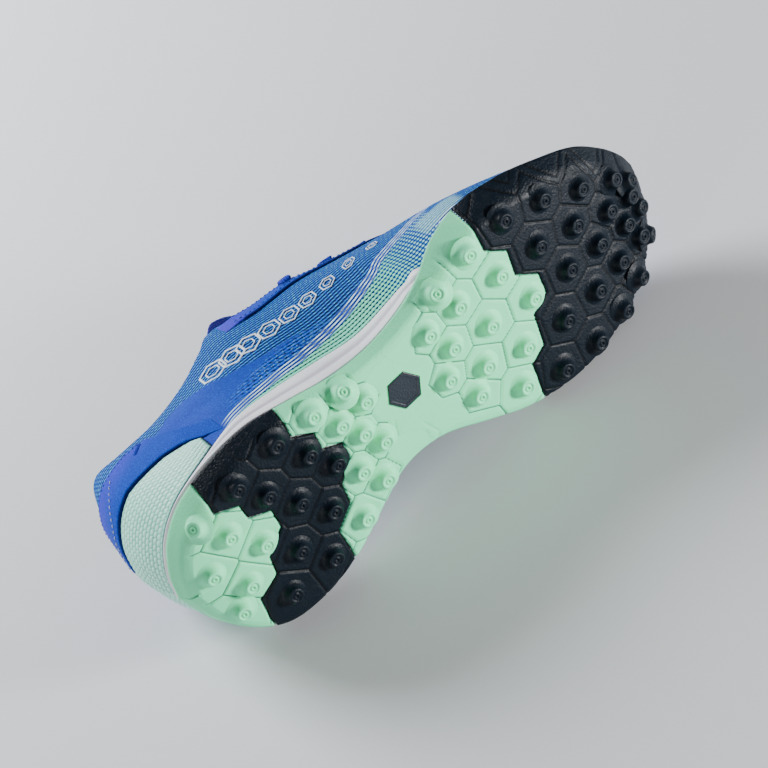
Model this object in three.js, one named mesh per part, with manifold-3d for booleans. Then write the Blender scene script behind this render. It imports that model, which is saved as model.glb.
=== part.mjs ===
// Turf shoe, right foot, lying on its inner side with the studded sole facing -Y and the toe along +X.
// Everything is modelled standing (x from heel to toe, y towards the inner side of the foot, z up from
// the stud tips) and turned onto its side at the end.
import * as THREE from 'three';
import { mergeVertices } from 'three/addons/utils/BufferGeometryUtils.js';
import { ConvexHull } from 'three/addons/math/ConvexHull.js';
import Module from 'manifold-3d';

const wasm = await Module();
wasm.setup();

// Named sizes, millimetres
const LENGTH = 290; // outsole, heel to toe
const WIDTH = 110; // outsole at the ball
const HEIGHT = 99; // heel tab above the floor when standing
const STUD = 4.7; // stud height
const STUD_TIP = 3.95; // stud radius at the tip
const PLATE = 3.2; // outsole between the studs
const BAND = 14.5; // tallest side band of the outsole
const FLARE = 7; // how far the side band leans out
const STRIP = 17.5; // tallest visible midsole side
const FOOTBED = 11; // footbed above the outsole's underside at the waist
const INSOLE = 4;
const INSOLE_SEAT = 0.45; // above the footbed, whose facets differ from the insole's
const WALL = 2;
const TONGUE = 4;
const TONGUE_EDGE = 1.6;
const GAP = 0.3; // between pieces that meet
const SHELF = 0.55; // under the upper's lower edge, whose inner corner hangs a little
const SEATED = 0.5; // lift of the overlays, which are flat between their corners
const COUNTER = 1.2;
const OVERLAY = 1.7;
const EYESTAY = 0.5; // above what it is lifted by
const EYESTAY_WIDE = [15, 9]; // at the ankle and at the vamp
const EYESTAY_EDGE = 1.2; // from the throat's edge
const EASE = 3.2; // flat underside to the start of the side band's curve
const LIP = 1.8; // thickness of the side band at its top
const WELT = 3.1; // upper's lower edge, in from the outline
const BED_EASE = 2.6; // slope from the midsole's shelf down to the footbed
const TOE_SPRING = 20;
const SPRING_FROM = 0.655 * LENGTH;
const HEEL_BEVEL = 7.6;
const BEVEL_TO = 0.131 * LENGTH;

// One row per section from heel to toe. at is a share of LENGTH, lateral and medial of WIDTH, the band
// columns of BAND, the flare columns of FLARE, strip of STRIP, and footbed of FOOTBED.
const SECTIONS = table(
  ['at', 'lateral', 'medial', 'bandLat', 'bandMed', 'flareLat', 'flareMed', 'strip', 'footbed'], [
  [0.0000, 0.009, 0.009, 0.53, 0.53, 0.71, 0.60, 0.17, 0.86],
  [0.0155, -0.123, 0.185, 0.58, 0.58, 0.71, 0.50, 0.17, 0.86],
  [0.0483, -0.255, 0.330, 0.71, 0.71, 0.79, 0.40, 0.17, 0.88],
  [0.1000, -0.352, 0.428, 0.82, 0.79, 0.86, 0.33, 0.18, 0.92],
  [0.1724, -0.409, 0.452, 0.71, 0.68, 0.86, 0.30, 0.29, 0.95],
  [0.2483, -0.421, 0.415, 0.64, 0.57, 0.79, 0.28, 0.60, 0.98],
  [0.3276, -0.373, 0.327, 0.54, 0.50, 0.64, 0.28, 0.88, 1.00],
  [0.4000, -0.321, 0.250, 0.50, 0.50, 0.50, 0.28, 1.00, 1.00],
  [0.4724, -0.303, 0.268, 0.50, 0.50, 0.50, 0.28, 0.78, 0.95],
  [0.5448, -0.327, 0.378, 0.54, 0.54, 0.57, 0.28, 0.63, 0.84],
  [0.6000, -0.375, 0.464, 0.64, 0.64, 0.71, 0.30, 0.34, 0.75],
  [0.6552, -0.435, 0.518, 0.92, 0.78, 0.93, 0.32, 0.00, 0.68],
  [0.7241, -0.459, 0.547, 1.00, 0.83, 1.00, 0.32, 0.00, 0.64],
  [0.8000, -0.416, 0.541, 0.88, 0.75, 1.00, 0.36, 0.00, 0.60],
  [0.8690, -0.335, 0.505, 0.69, 0.62, 1.00, 0.50, 0.00, 0.57],
  [0.9276, -0.235, 0.432, 0.61, 0.52, 1.00, 0.64, 0.00, 0.55],
  [0.9690, -0.105, 0.314, 0.60, 0.52, 0.93, 0.71, 0.00, 0.54],
  [0.9924, 0.009, 0.182, 0.62, 0.58, 0.86, 0.79, 0.00, 0.54],
  [1.0000, 0.091, 0.091, 0.64, 0.64, 0.86, 0.86, 0.00, 0.54]]);

// The upper's side curve at the same sections: its end on the collar or throat (x a share of LENGTH,
// lateral and medial of WIDTH, z of HEIGHT), and how far its two control points stand out and up or
// down, as shares of HEIGHT.
const TOPLINE = table(
  ['x', 'lateral', 'medial', 'z', 'out1', 'up1', 'out2', 'down2'], [
  [0.0052, 0.000, 0.000, 1.000, 0.120, 0.22, 0.080, 0.32],
  [0.0121, -0.128, 0.128, 1.000, 0.105, 0.22, 0.080, 0.32],
  [0.0379, -0.232, 0.232, 0.980, 0.060, 0.22, 0.080, 0.32],
  [0.0897, -0.291, 0.291, 0.880, 0.020, 0.22, 0.080, 0.28],
  [0.1621, -0.314, 0.309, 0.838, 0.010, 0.22, 0.070, 0.26],
  [0.2345, -0.318, 0.314, 0.894, 0.010, 0.22, 0.060, 0.28],
  [0.2931, -0.318, 0.314, 1.000, 0.020, 0.22, 0.060, 0.30],
  [0.3310, -0.309, 0.309, 1.085, 0.035, 0.22, 0.090, 0.34],
  [0.4069, -0.273, 0.291, 1.055, 0.035, 0.22, 0.130, 0.32],
  [0.4759, -0.245, 0.277, 1.045, 0.030, 0.22, 0.160, 0.29],
  [0.5379, -0.205, 0.259, 0.980, 0.035, 0.22, 0.200, 0.24],
  [0.5862, -0.173, 0.236, 0.925, 0.050, 0.20, 0.230, 0.18],
  [0.6241, -0.118, 0.195, 0.880, 0.060, 0.20, 0.270, 0.12],
  [0.6448, -0.064, 0.145, 0.850, 0.060, 0.20, 0.310, 0.09],
  [0.6545, -0.018, 0.100, 0.835, 0.050, 0.19, 0.360, 0.09],
  [0.6580, 0.005, 0.077, 0.830, 0.040, 0.18, 0.410, 0.11],
  [0.6593, 0.023, 0.059, 0.828, 0.030, 0.18, 0.440, 0.13],
  [0.6598, 0.033, 0.049, 0.827, 0.025, 0.18, 0.450, 0.14],
  [0.6600, 0.041, 0.041, 0.826, 0.020, 0.18, 0.450, 0.14]]);

// Rows of studs from the outer edge to the inner one, shares of LENGTH and WIDTH. ease spaces them.
const STUD_ROWS = table(['x0', 'y0', 'x1', 'y1', 'count', 'ease'], [
  [0.0572, 0.191, 0.0572, 0.191, 1, 1.0],
  [0.0600, -0.042, 0.1345, 0.290, 3, 1.12],
  [0.0866, -0.290, 0.2186, 0.301, 5, 1.0],
  [0.1752, -0.289, 0.2966, 0.266, 5, 1.05],
  [0.2631, -0.315, 0.3597, 0.192, 5, 0.88],
  [0.3355, -0.294, 0.3955, 0.044, 4, 0.87],
  [0.3941, -0.285, 0.4110, -0.169, 2, 1.0],
  [0.5338, 0.047, 0.5572, 0.215, 2, 1.0],
  [0.5514, -0.189, 0.6238, 0.346, 4, 1.28],
  [0.5997, -0.317, 0.6921, 0.429, 5, 1.265],
  [0.6762, -0.343, 0.7652, 0.462, 5, 1.05],
  [0.7534, -0.336, 0.8331, 0.462, 5, 0.92],
  [0.8255, -0.255, 0.8900, 0.420, 5, 0.82],
  [0.8900, -0.135, 0.9320, 0.283, 4, 0.70],
  [0.9480, -0.022, 0.9610, 0.187, 3, 0.69],
  [0.9720, 0.052, 0.9480, 0.326, 2, 1.0]]);

// Colour borders of the outsole along the hexagons, shares of LENGTH and WIDTH
const TOE_BORDER = table(['x', 'y'], [
  [0.705, -0.70], [0.709, -0.411], [0.702, -0.282], [0.731, -0.205], [0.719, -0.087], [0.751, -0.004],
  [0.743, 0.093], [0.706, 0.126], [0.690, 0.269], [0.656, 0.305], [0.642, 0.455], [0.636, 0.75]]);
const HEEL_FRONT = table(['x', 'y'], [
  [0.289, -0.70], [0.298, -0.388], [0.290, -0.274], [0.321, -0.213], [0.313, -0.132], [0.344, -0.080],
  [0.338, -0.003], [0.302, 0.072], [0.293, 0.169], [0.252, 0.234], [0.247, 0.353], [0.235, 0.75]]);
const HEEL_REAR = table(['x', 'y'], [
  [0.149, -0.70], [0.125, -0.260], [0.162, -0.207], [0.160, -0.131], [0.194, -0.082], [0.189, 0.008],
  [0.145, 0.083], [0.136, 0.169], [0.091, 0.213], [0.082, 0.320], [0.070, 0.75]]);

// Top edges of the heel pieces: x a share of LENGTH, z of HEIGHT
const COUNTER_TOP = table(['x', 'z'], [[-0.05, 0.555], [0.03, 0.555], [0.07, 0.55], [0.105, 0.505],
  [0.14, 0.465], [0.18, 0.385], [0.20, 0.32]]);
const OVERLAY_TOP = table(['x', 'z'], [[-0.05, 0.80], [0.04, 0.81], [0.10, 0.785], [0.14, 0.745],
  [0.17, 0.62], [0.20, 0.50], [0.232, 0.40]]);
const COUNTER_END = 0.196 * LENGTH;
const OVERLAY_END = 0.228 * LENGTH;

// The tongue from under the vamp to its tip: x of LENGTH, middle and half width of WIDTH, z of
// HEIGHT, and how far its edges drop, of HEIGHT
const TONGUE_ROWS = table(['x', 'middle', 'half', 'z', 'drop'], [
  [0.700, 0.045, 0.120, 0.762, 0.020],
  [0.660, 0.041, 0.150, 0.799, 0.030],
  [0.620, 0.036, 0.180, 0.845, 0.055],
  [0.545, 0.027, 0.220, 0.940, 0.110],
  [0.480, 0.016, 0.215, 1.080, 0.130],
  [0.445, 0.012, 0.222, 1.190, 0.140],
  [0.410, 0.006, 0.262, 1.290, 0.160],
  [0.370, 0.000, 0.275, 1.345, 0.150],
  [0.338, 0.000, 0.235, 1.380, 0.110]]);
const LACE_BARS = 4;
const LACE_ROWS = [9.0, 12.1]; // first and last row of TOPLINE that a bar crosses
const LACE_WIDTH = 6.5;
const LACE_THICK = 1.6;
const LACE_END = 9; // how far below the throat's edge a lace bar ends
const LACE_BEND = 3.5;
const LACE_LIFT = 2.3; // above the upper, over the eyestay
const LACE_OVER = 2.6; // above the throat's edge
const LACE_RISE = 2; // highest rise of the middle over the two edges
const LACE_CLEAR = 1.6; // above the tongue
const INLAY = 9.2; // plain hexagon set into the waist, centre to corner
const INLAY_DEPTH = 1.1;
const INLAY_AT = { x: 0.470, y: -0.06 }; // of LENGTH and WIDTH

const COLOURS = {
  mint: [0x9bd9bc, 0.62], dark: [0x26323f, 0.6], white: [0xe8e4eb, 0.6], blue: [0x0a50b4, 0.75],
  violet: [0x4655be, 0.85], aqua: [0x96d7c8, 0.7], inside: [0x1c3a86, 0.9], lace: [0x1a3fa8, 0.8] };

function table(names, rows) {
  return rows.map((row) => Object.fromEntries(names.map((name, k) => [name, row[k]])));
}
function smooth(a, b, x) {
  const t = Math.min(1, Math.max(0, (x - a) / (b - a)));
  return t * t * (3 - 2 * t);
}
const mix = (a, b, t) => a + (b - a) * t;

// Catmull-Rom through a column of a table at a real row position
function column(rows, name, position) {
  const last = rows.length - 1;
  const k = Math.min(last - 1, Math.max(0, Math.floor(position)));
  const t = position - k;
  const p1 = rows[k][name], p2 = rows[k + 1][name];
  const p0 = k > 0 ? rows[k - 1][name] : 2 * p1 - p2;
  const p3 = k < last - 1 ? rows[k + 2][name] : 2 * p2 - p1;
  return 0.5 * (2 * p1 + (p2 - p0) * t + (2 * p0 - 5 * p1 + 4 * p2 - p3) * t * t +
    (3 * p1 - p0 - 3 * p2 + p3) * t * t * t);
}
// Linear look-up of one column by another
function lookup(rows, from, to, value) {
  if (value <= rows[0][from]) return rows[0][to];
  for (let k = 1; k < rows.length; k++) {
    if (value <= rows[k][from]) {
      return mix(rows[k - 1][to], rows[k][to],
        (value - rows[k - 1][from]) / (rows[k][from] - rows[k - 1][from]));
    }
  }
  return rows[rows.length - 1][to];
}

// The underside between the studs
function base(x) {
  const spring = Math.max(0, x - SPRING_FROM) / (LENGTH - SPRING_FROM);
  const bevel = Math.max(0, BEVEL_TO - x) / BEVEL_TO;
  return STUD + TOE_SPRING * spring * spring + HEEL_BEVEL * bevel * bevel;
}

// Position p runs 0 to 1 round the lateral side from heel to toe and 1 to 2 back along the medial one.
const LAST_ROW = SECTIONS.length - 1;
function around(p) {
  const q = ((p % 2) + 2) % 2;
  const lateral = q <= 1;
  return { lateral, row: (lateral ? q : 2 - q) * LAST_ROW };
}
function outline(p) {
  const { lateral, row } = around(p);
  return [column(SECTIONS, 'at', row) * LENGTH, column(SECTIONS, lateral ? 'lateral' : 'medial', row) * WIDTH];
}
function section(p) {
  const { lateral, row } = around(p);
  const side = lateral ? 'Lat' : 'Med';
  const [x, y] = outline(p);
  const e = 1e-3;
  const a = outline(p - e), b = outline(p + e);
  const length = Math.hypot(b[0] - a[0], b[1] - a[1]);
  const strip = Math.max(0, column(SECTIONS, 'strip', row)) * STRIP;
  return { x, y, row, lateral,
    nx: (b[1] - a[1]) / length, ny: -(b[0] - a[0]) / length,
    band: column(SECTIONS, 'band' + side, row) * BAND,
    flare: column(SECTIONS, 'flare' + side, row) * FLARE,
    strip, bed: column(SECTIONS, 'footbed', row) * FOOTBED };
}
// A point set in from the outline by inset, at height above the underside there
function inward(s, inset, height) {
  const x = s.x - s.nx * inset, y = s.y - s.ny * inset;
  return [x, y, base(x) + height];
}
// 0 where the midsole shows above the side band, 1 where the band hides it
function hidden(s) { return smooth(0.575 * LENGTH, 0.625 * LENGTH, s.x); }
function seat(s) {
  const open = s.band + s.strip - 2;
  return mix(open, s.bed + 1.2, hidden(s));
}
function feather(s) {
  const lean = column(TOPLINE, 'out1', s.row) / column(TOPLINE, 'up1', s.row);
  return mix(WELT + 2.6 * lean, cupWall(s, seat(s)) + 1.6, hidden(s));
}
// How far the midsole's shelf lies under the upper's lower edge, which hangs more where the shelf slopes
function shelf(s) {
  const slope = smooth(0.57 * LENGTH, 0.61 * LENGTH, s.x) * (1 - smooth(0.66 * LENGTH, 0.70 * LENGTH, s.x));
  return SHELF + 0.4 * slope;
}
// A point of the midsole under the shelf by drop, and in from the cup's inner wall by clear
function sunk(s, drop, clear) {
  return [cupWall(s, seat(s) - drop) + clear, seat(s) - drop];
}
// How far in the cup's inner wall stands at a height
function cupWall(s, z) {
  return LIP + (s.band - 0.6 - z) / (s.band - 0.6 - PLATE) * (s.flare + 0.8);
}

// Closed solid from rings, first and last ring closed across between the two sides
function ringSolid(count, ring, levels, across = 2) {
  const points = [], faces = [];
  for (let k = 0; k < levels; k++) {
    for (let i = 0; i < count; i++) points.push(ring(k, i));
  }
  const at = (k, i) => k * count + ((i % count) + count) % count;
  for (let k = 0; k + 1 < levels; k++) {
    for (let i = 0; i < count; i++) {
      faces.push([at(k, i), at(k, i + 1), at(k + 1, i + 1)], [at(k, i), at(k + 1, i + 1), at(k + 1, i)]);
    }
  }
  const half = count / 2;
  for (const [level, flip] of [[0, true], [levels - 1, false]]) {
    const rows = [];
    for (let j = 0; j <= half; j++) {
      const a = at(level, j), b = at(level, -j);
      if (j === 0 || j === half) { rows.push([a]); continue; }
      const row = [a];
      for (let m = 1; m < across; m++) {
        const t = m / across, A = points[a], B = points[b];
        points.push([0, 1, 2].map((c) => mix(A[c], B[c], t)));
        row.push(points.length - 1);
      }
      row.push(b);
      rows.push(row);
    }
    for (let j = 0; j < half; j++) {
      const r = rows[j], s = rows[j + 1];
      const add = (a, b, c) => faces.push(flip ? [a, c, b] : [a, b, c]);
      if (r.length === 1) { for (let m = 0; m + 1 < s.length; m++) add(r[0], s[m], s[m + 1]); continue; }
      if (s.length === 1) { for (let m = 0; m + 1 < r.length; m++) add(r[m], s[0], r[m + 1]); continue; }
      for (let m = 0; m + 1 < r.length; m++) {
        add(r[m], s[m], s[m + 1]);
        add(r[m], s[m + 1], r[m + 1]);
      }
    }
  }
  return geometry(points, faces);
}
function geometry(points, faces) {
  const shape = new THREE.BufferGeometry();
  shape.setAttribute('position', new THREE.Float32BufferAttribute(points.flat(), 3));
  shape.setIndex(faces.flat());
  return outwards(shape);
}
function volume(shape) {
  const p = shape.getAttribute('position'), index = shape.getIndex().array;
  const a = new THREE.Vector3(), b = new THREE.Vector3(), c = new THREE.Vector3();
  let total = 0;
  for (let i = 0; i < index.length; i += 3) {
    a.fromBufferAttribute(p, index[i]); b.fromBufferAttribute(p, index[i + 1]);
    c.fromBufferAttribute(p, index[i + 2]);
    total += a.dot(b.cross(c)) / 6;
  }
  return total;
}
function outwards(shape) {
  if (volume(shape) < 0) {
    const index = shape.getIndex().array;
    for (let i = 0; i < index.length; i += 3) [index[i + 1], index[i + 2]] = [index[i + 2], index[i + 1]];
  }
  return shape;
}

// manifold-3d in and out
function toManifold(shape) {
  const plain = shape.clone();
  plain.deleteAttribute('normal');
  plain.deleteAttribute('uv');
  const merged = outwards(mergeVertices(plain, 1e-4));
  const mesh = new wasm.Mesh({ numProp: 3,
    vertProperties: new Float32Array(merged.getAttribute('position').array),
    triVerts: new Uint32Array(merged.getIndex().array) });
  mesh.merge();
  return new wasm.Manifold(mesh);
}
function fromManifold(solid) {
  const mesh = solid.getMesh();
  const shape = new THREE.BufferGeometry();
  shape.setAttribute('position', new THREE.Float32BufferAttribute(Array.from(mesh.vertProperties), 3));
  shape.setIndex(Array.from(mesh.triVerts));
  return shape;
}

// Outsole: plate and side band as one cup
const AROUND = 52;
function cup() {
  const stations = Array.from({ length: AROUND }, (_, i) => section(2 * i / AROUND));
  const profile = [
    (s) => [s.flare + EASE, 0],
    (s) => [s.flare + 0.9, 0.8],
    (s) => [s.flare * 0.72, 0.26 * s.band],
    (s) => [0.25, s.band - 1.6],
    (s) => [0.15, s.band - 0.5],
    (s) => [0.9, s.band],
    (s) => [LIP, s.band - 0.6],
    (s) => [s.flare + 2.6, PLATE]];
  return ringSolid(AROUND, (k, i) => inward(stations[i], ...profile[k](stations[i])), profile.length);
}
// Height of the underside at a plan point, with the turned-up edge
const RIM = Array.from({ length: 200 }, (_, i) => section(2 * i / 200));
function underside(x, y) {
  let near = null, inset = Infinity;
  for (const s of RIM) {
    const d = Math.hypot(s.x - x, s.y - y);
    if (d < inset) { inset = d; near = s; }
  }
  const edge = [[near.flare + EASE, 0], [near.flare + 0.9, 0.8], [near.flare * 0.72, 0.26 * near.band], [0, near.band]];
  let lift = 0;
  for (let k = 0; k + 1 < edge.length; k++) {
    const [d0, h0] = edge[k], [d1, h1] = edge[k + 1];
    if (inset <= d0 && inset >= d1) lift = mix(h0, h1, (d0 - inset) / (d0 - d1));
  }
  return base(x) + lift;
}
function stud(x, y, sides = 7) {
  const profile = [[0, STUD], [STUD_TIP, STUD], [STUD_TIP * 1.2, 0.22 * STUD], [STUD_TIP * 1.5, -0.3],
    [0, -0.5 * PLATE]];
  const shape = new THREE.LatheGeometry(profile.map(([r, h]) => new THREE.Vector2(r, h)), sides);
  const d = STUD_TIP;
  const slope = [(underside(x + d, y) - underside(x - d, y)) / (2 * d), (underside(x, y + d) - underside(x, y - d)) / (2 * d)];
  const axis = new THREE.Vector3(0.8 * slope[0], 0.8 * slope[1], -1).normalize();
  shape.applyQuaternion(new THREE.Quaternion().setFromUnitVectors(new THREE.Vector3(0, 1, 0), axis));
  const foot = [x - axis.x * 0.9 * STUD, y - axis.y * 0.9 * STUD];
  shape.translate(...foot, underside(...foot));
  return shape;
}
function studPlaces() {
  const places = [];
  for (const r of STUD_ROWS) {
    for (let i = 0; i < r.count; i++) {
      const t = r.count > 1 ? Math.pow(i / (r.count - 1), r.ease) : 0;
      places.push([mix(r.x0, r.x1, t) * LENGTH, mix(r.y0, r.y1, t) * WIDTH]);
    }
  }
  return places;
}
// Upright prism over a closed plan polygon, grown by an amount
function prism(corners, grow = 0) {
  const n = corners.length;
  const turn = Math.sign(corners.reduce((sum, [x, y], k) => {
    const [u, v] = corners[(k + 1) % n];
    return sum + x * v - u * y;
  }, 0));
  const moved = corners.map((c, k) => {
    const a = corners[(k + n - 1) % n], b = corners[(k + 1) % n];
    const d1 = [c[0] - a[0], c[1] - a[1]], d2 = [b[0] - c[0], b[1] - c[1]];
    const l1 = Math.hypot(...d1), l2 = Math.hypot(...d2);
    const n1 = [d1[1] / l1 * turn, -d1[0] / l1 * turn], n2 = [d2[1] / l2 * turn, -d2[0] / l2 * turn];
    const k1 = 1 + n1[0] * n2[0] + n1[1] * n2[1];
    return new THREE.Vector2(c[0] + grow * (n1[0] + n2[0]) / k1, c[1] + grow * (n1[1] + n2[1]) / k1);
  });
  const shape = new THREE.ExtrudeGeometry(new THREE.Shape(moved), { depth: 3 * HEIGHT, bevelEnabled: false });
  shape.translate(0, 0, -HEIGHT);
  return toManifold(shape);
}
const plan = (rows) => rows.map((r) => [r.x * LENGTH, r.y * WIDTH]);
function outsoleParts() {
  let whole = toManifold(cup());
  for (const [x, y] of studPlaces()) whole = whole.add(toManifold(stud(x, y)));
  const far = 1.5 * LENGTH, wide = 0.75 * WIDTH;
  const toe = [...plan(TOE_BORDER), [far, wide], [far, -0.7 * WIDTH]];
  const heel = [...plan(HEEL_FRONT), ...plan(HEEL_REAR).reverse()];
  const behind = [...plan(HEEL_REAR), [-far, wide], [-far, -0.7 * WIDTH]];
  return {
    outsole_toe: fromManifold(whole.intersect(prism(toe))),
    outsole_heel: fromManifold(whole.intersect(prism(heel))),
    outsole_rear: fromManifold(whole.intersect(prism(behind, -GAP))),
    outsole_middle: fromManifold(whole.subtract(prism(toe, GAP)).subtract(middlePrism()).subtract(inlay(GAP))),
    arch_inlay: fromManifold(inlay(0)) };
}
// A plain hexagon in the waist, where the underside is flat, or the recess that it sits in
function inlay(grow) {
  const corners = Array.from({ length: 6 }, (_, k) => new THREE.Vector2((INLAY + grow) * Math.cos(k * Math.PI / 3),
    (INLAY + grow) * Math.sin(k * Math.PI / 3)));
  const shape = new THREE.ExtrudeGeometry(new THREE.Shape(corners),
    { depth: grow ? INLAY_DEPTH + grow + STUD : INLAY_DEPTH, bevelEnabled: false });
  const x = INLAY_AT.x * LENGTH;
  shape.translate(x, INLAY_AT.y * WIDTH, grow ? base(x) - STUD : base(x));
  return toManifold(shape);
}
// Everything behind the front border of the dark heel field
function middlePrism() {
  const far = 1.5 * LENGTH;
  return prism([...plan(HEEL_FRONT), [-far, 0.75 * WIDTH], [-far, -0.7 * WIDTH]], GAP);
}

// Midsole: follows the cup inside, shows above it as a strip, and carries the shelf and footbed
function midsole() {
  const count = 52;
  const stations = Array.from({ length: count }, (_, i) => section(2 * i / count));
  const under = (s) => smooth(0.60 * LENGTH, 0.628 * LENGTH, s.x);
  const aside = (s) => smooth(0.565 * LENGTH, 0.60 * LENGTH, s.x);
  const top = (s) => s.band + Math.max(0.9, s.strip);
  // Each ring as [inset, height] where the strip shows, and where the band hides the midsole
  const inner = (s) => Math.min(seat(s) - shelf(s), top(s) - 0.1);
  const lean = (s) => column(TOPLINE, 'out1', s.row) / column(TOPLINE, 'up1', s.row);
  const rings = [
    (s) => [[s.flare + 3.7, PLATE + GAP], [s.flare + 3.7, PLATE + GAP]],
    (s) => [[Math.max(2.6, cupWall(s, s.band - 0.4) + 0.8), s.band - 0.4], sunk(s, 2.3, 1.0)],
    (s) => [[mix(2.1, 2.6, aside(s)), s.band + 0.45], sunk(s, shelf(s) + 0.7, 0.85)],
    (s) => [[mix(0.5, 2.4, aside(s)), s.band + 0.65], sunk(s, shelf(s) + 0.3, 0.8)],
    (s) => [[mix(0.95, 2.45, aside(s)), Math.max(s.band + 0.75, top(s) - 0.6)], sunk(s, shelf(s) + 0.1, 0.8)],
    (s) => [[mix(1.4, 2.6, aside(s)), top(s)], sunk(s, shelf(s), 0.8)],
    (s) => [[feather(s) - 0.9 - 0.6 * lean(s), top(s) - 0.1], sunk(s, shelf(s), 0.9)],
    (s) => [[feather(s) - 0.65, inner(s)], sunk(s, shelf(s), 1.0)],
    (s) => [[feather(s) + WALL + 0.6, inner(s)], [feather(s) + WALL + 0.6, seat(s) - shelf(s)]],
    (s) => [[feather(s) + WALL + BED_EASE, s.bed], [feather(s) + WALL + BED_EASE, s.bed]]];
  // Between the two states a ring that still stands above the shelf keeps clear of the upper's wall
  const profile = rings.map((ring, k) => (s) => {
    const [shown, covered] = ring(s);
    const inset = mix(shown[0], covered[0], under(s)), height = mix(shown[1], covered[1], under(s));
    const above = height - seat(s) + shelf(s);
    const most = feather(s) - lean(s) * Math.max(0, height - seat(s)) - 0.7;
    return [k < 7 && above > 0.02 ? Math.min(inset, most) : inset, height];
  });
  return ringSolid(count, (k, i) => inward(stations[i], ...profile[k](stations[i])), profile.length);
}
function insole() {
  const count = 40;
  const stations = Array.from({ length: count }, (_, i) => section(2 * i / count));
  const profile = [
    (s) => [feather(s) + WALL + BED_EASE + 1.8, s.bed + INSOLE_SEAT],
    (s) => [feather(s) + WALL + BED_EASE + 1.2, s.bed + INSOLE_SEAT + 0.6],
    (s) => [feather(s) + WALL + BED_EASE + 1.1, s.bed + INSOLE_SEAT + INSOLE - 0.5],
    (s) => [feather(s) + WALL + BED_EASE + 1.8, s.bed + INSOLE_SEAT + INSOLE]];
  return ringSolid(count, (k, i) => inward(stations[i], ...profile[k](stations[i])), profile.length);
}

// Upper: one side curve per position, from the shelf to the collar or throat edge
function sideCurve(p) {
  const s = section(p);
  const { row, lateral } = around(p);
  const foot = inward(s, feather(s), seat(s));
  const top = [column(TOPLINE, 'x', row) * LENGTH,
    column(TOPLINE, lateral ? 'lateral' : 'medial', row) * WIDTH, column(TOPLINE, 'z', row) * HEIGHT];
  const reach = [foot[0] - top[0], foot[1] - top[1]];
  const length = Math.hypot(...reach) || 1;
  const w = smooth(0.5 * LENGTH, 0.68 * LENGTH, s.x);
  let d = [mix(s.nx, reach[0] / length, w), mix(s.ny, reach[1] / length, w)];
  const dl = Math.hypot(...d);
  d = d.map((c) => c / dl);
  const out1 = column(TOPLINE, 'out1', row) * HEIGHT, up1 = column(TOPLINE, 'up1', row) * HEIGHT;
  const out2 = column(TOPLINE, 'out2', row) * HEIGHT, down2 = column(TOPLINE, 'down2', row) * HEIGHT;
  return [foot, [foot[0] + s.nx * out1, foot[1] + s.ny * out1, foot[2] + up1],
    [top[0] + d[0] * out2, top[1] + d[1] * out2, top[2] - down2], top];
}
function onUpper(p, v) {
  const c = sideCurve(p), u = 1 - v;
  const b = [u * u * u, 3 * u * u * v, 3 * u * v * v, v * v * v];
  return [0, 1, 2].map((k) => b[0] * c[0][k] + b[1] * c[1][k] + b[2] * c[2][k] + b[3] * c[3][k]);
}
function normalAt(p, v) {
  const e = 4e-3, f = 1e-2;
  const low = Math.max(0, v - f), high = Math.min(1, v + f);
  const a = new THREE.Vector3(...onUpper(p + e, v)).sub(new THREE.Vector3(...onUpper(p - e, v)));
  const b = new THREE.Vector3(...onUpper(p, high)).sub(new THREE.Vector3(...onUpper(p, low)));
  return a.cross(b).normalize();
}
// A point on the upper lifted outwards
function lifted(p, v, by) {
  const n = normalAt(p, v), q = onUpper(p, v);
  return [q[0] + n.x * by, q[1] + n.y * by, q[2] + n.z * by];
}
function heightOn(p, z) {
  let low = 0, high = 1;
  for (let k = 0; k < 30; k++) {
    const middle = (low + high) / 2;
    if (onUpper(p, middle)[2] < z) low = middle; else high = middle;
  }
  return (low + high) / 2;
}
// Positions round the shoe, closer together where the curve is tight
function positions(count) {
  return Array.from({ length: count }, (_, i) => 2 * i / count);
}
function upper() {
  const ring = positions(52), levels = 10;
  const points = [], faces = [], n = ring.length;
  for (const by of [0, -WALL]) {
    for (let j = 0; j <= levels; j++) {
      for (const p of ring) points.push(lifted(p, j / levels, by));
    }
  }
  const at = (side, j, i) => (side * (levels + 1) + j) * n + (i % n);
  for (let i = 0; i < n; i++) {
    for (let j = 0; j < levels; j++) {
      faces.push([at(0, j, i), at(0, j, i + 1), at(0, j + 1, i + 1)], [at(0, j, i), at(0, j + 1, i + 1), at(0, j + 1, i)]);
      faces.push([at(1, j, i), at(1, j + 1, i + 1), at(1, j, i + 1)], [at(1, j, i), at(1, j + 1, i), at(1, j + 1, i + 1)]);
    }
    faces.push([at(0, 0, i), at(1, 0, i + 1), at(0, 0, i + 1)], [at(0, 0, i), at(1, 0, i), at(1, 0, i + 1)]);
    faces.push([at(0, levels, i), at(0, levels, i + 1), at(1, levels, i + 1)],
      [at(0, levels, i), at(1, levels, i + 1), at(1, levels, i)]);
  }
  return geometry(points, faces);
}
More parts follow.
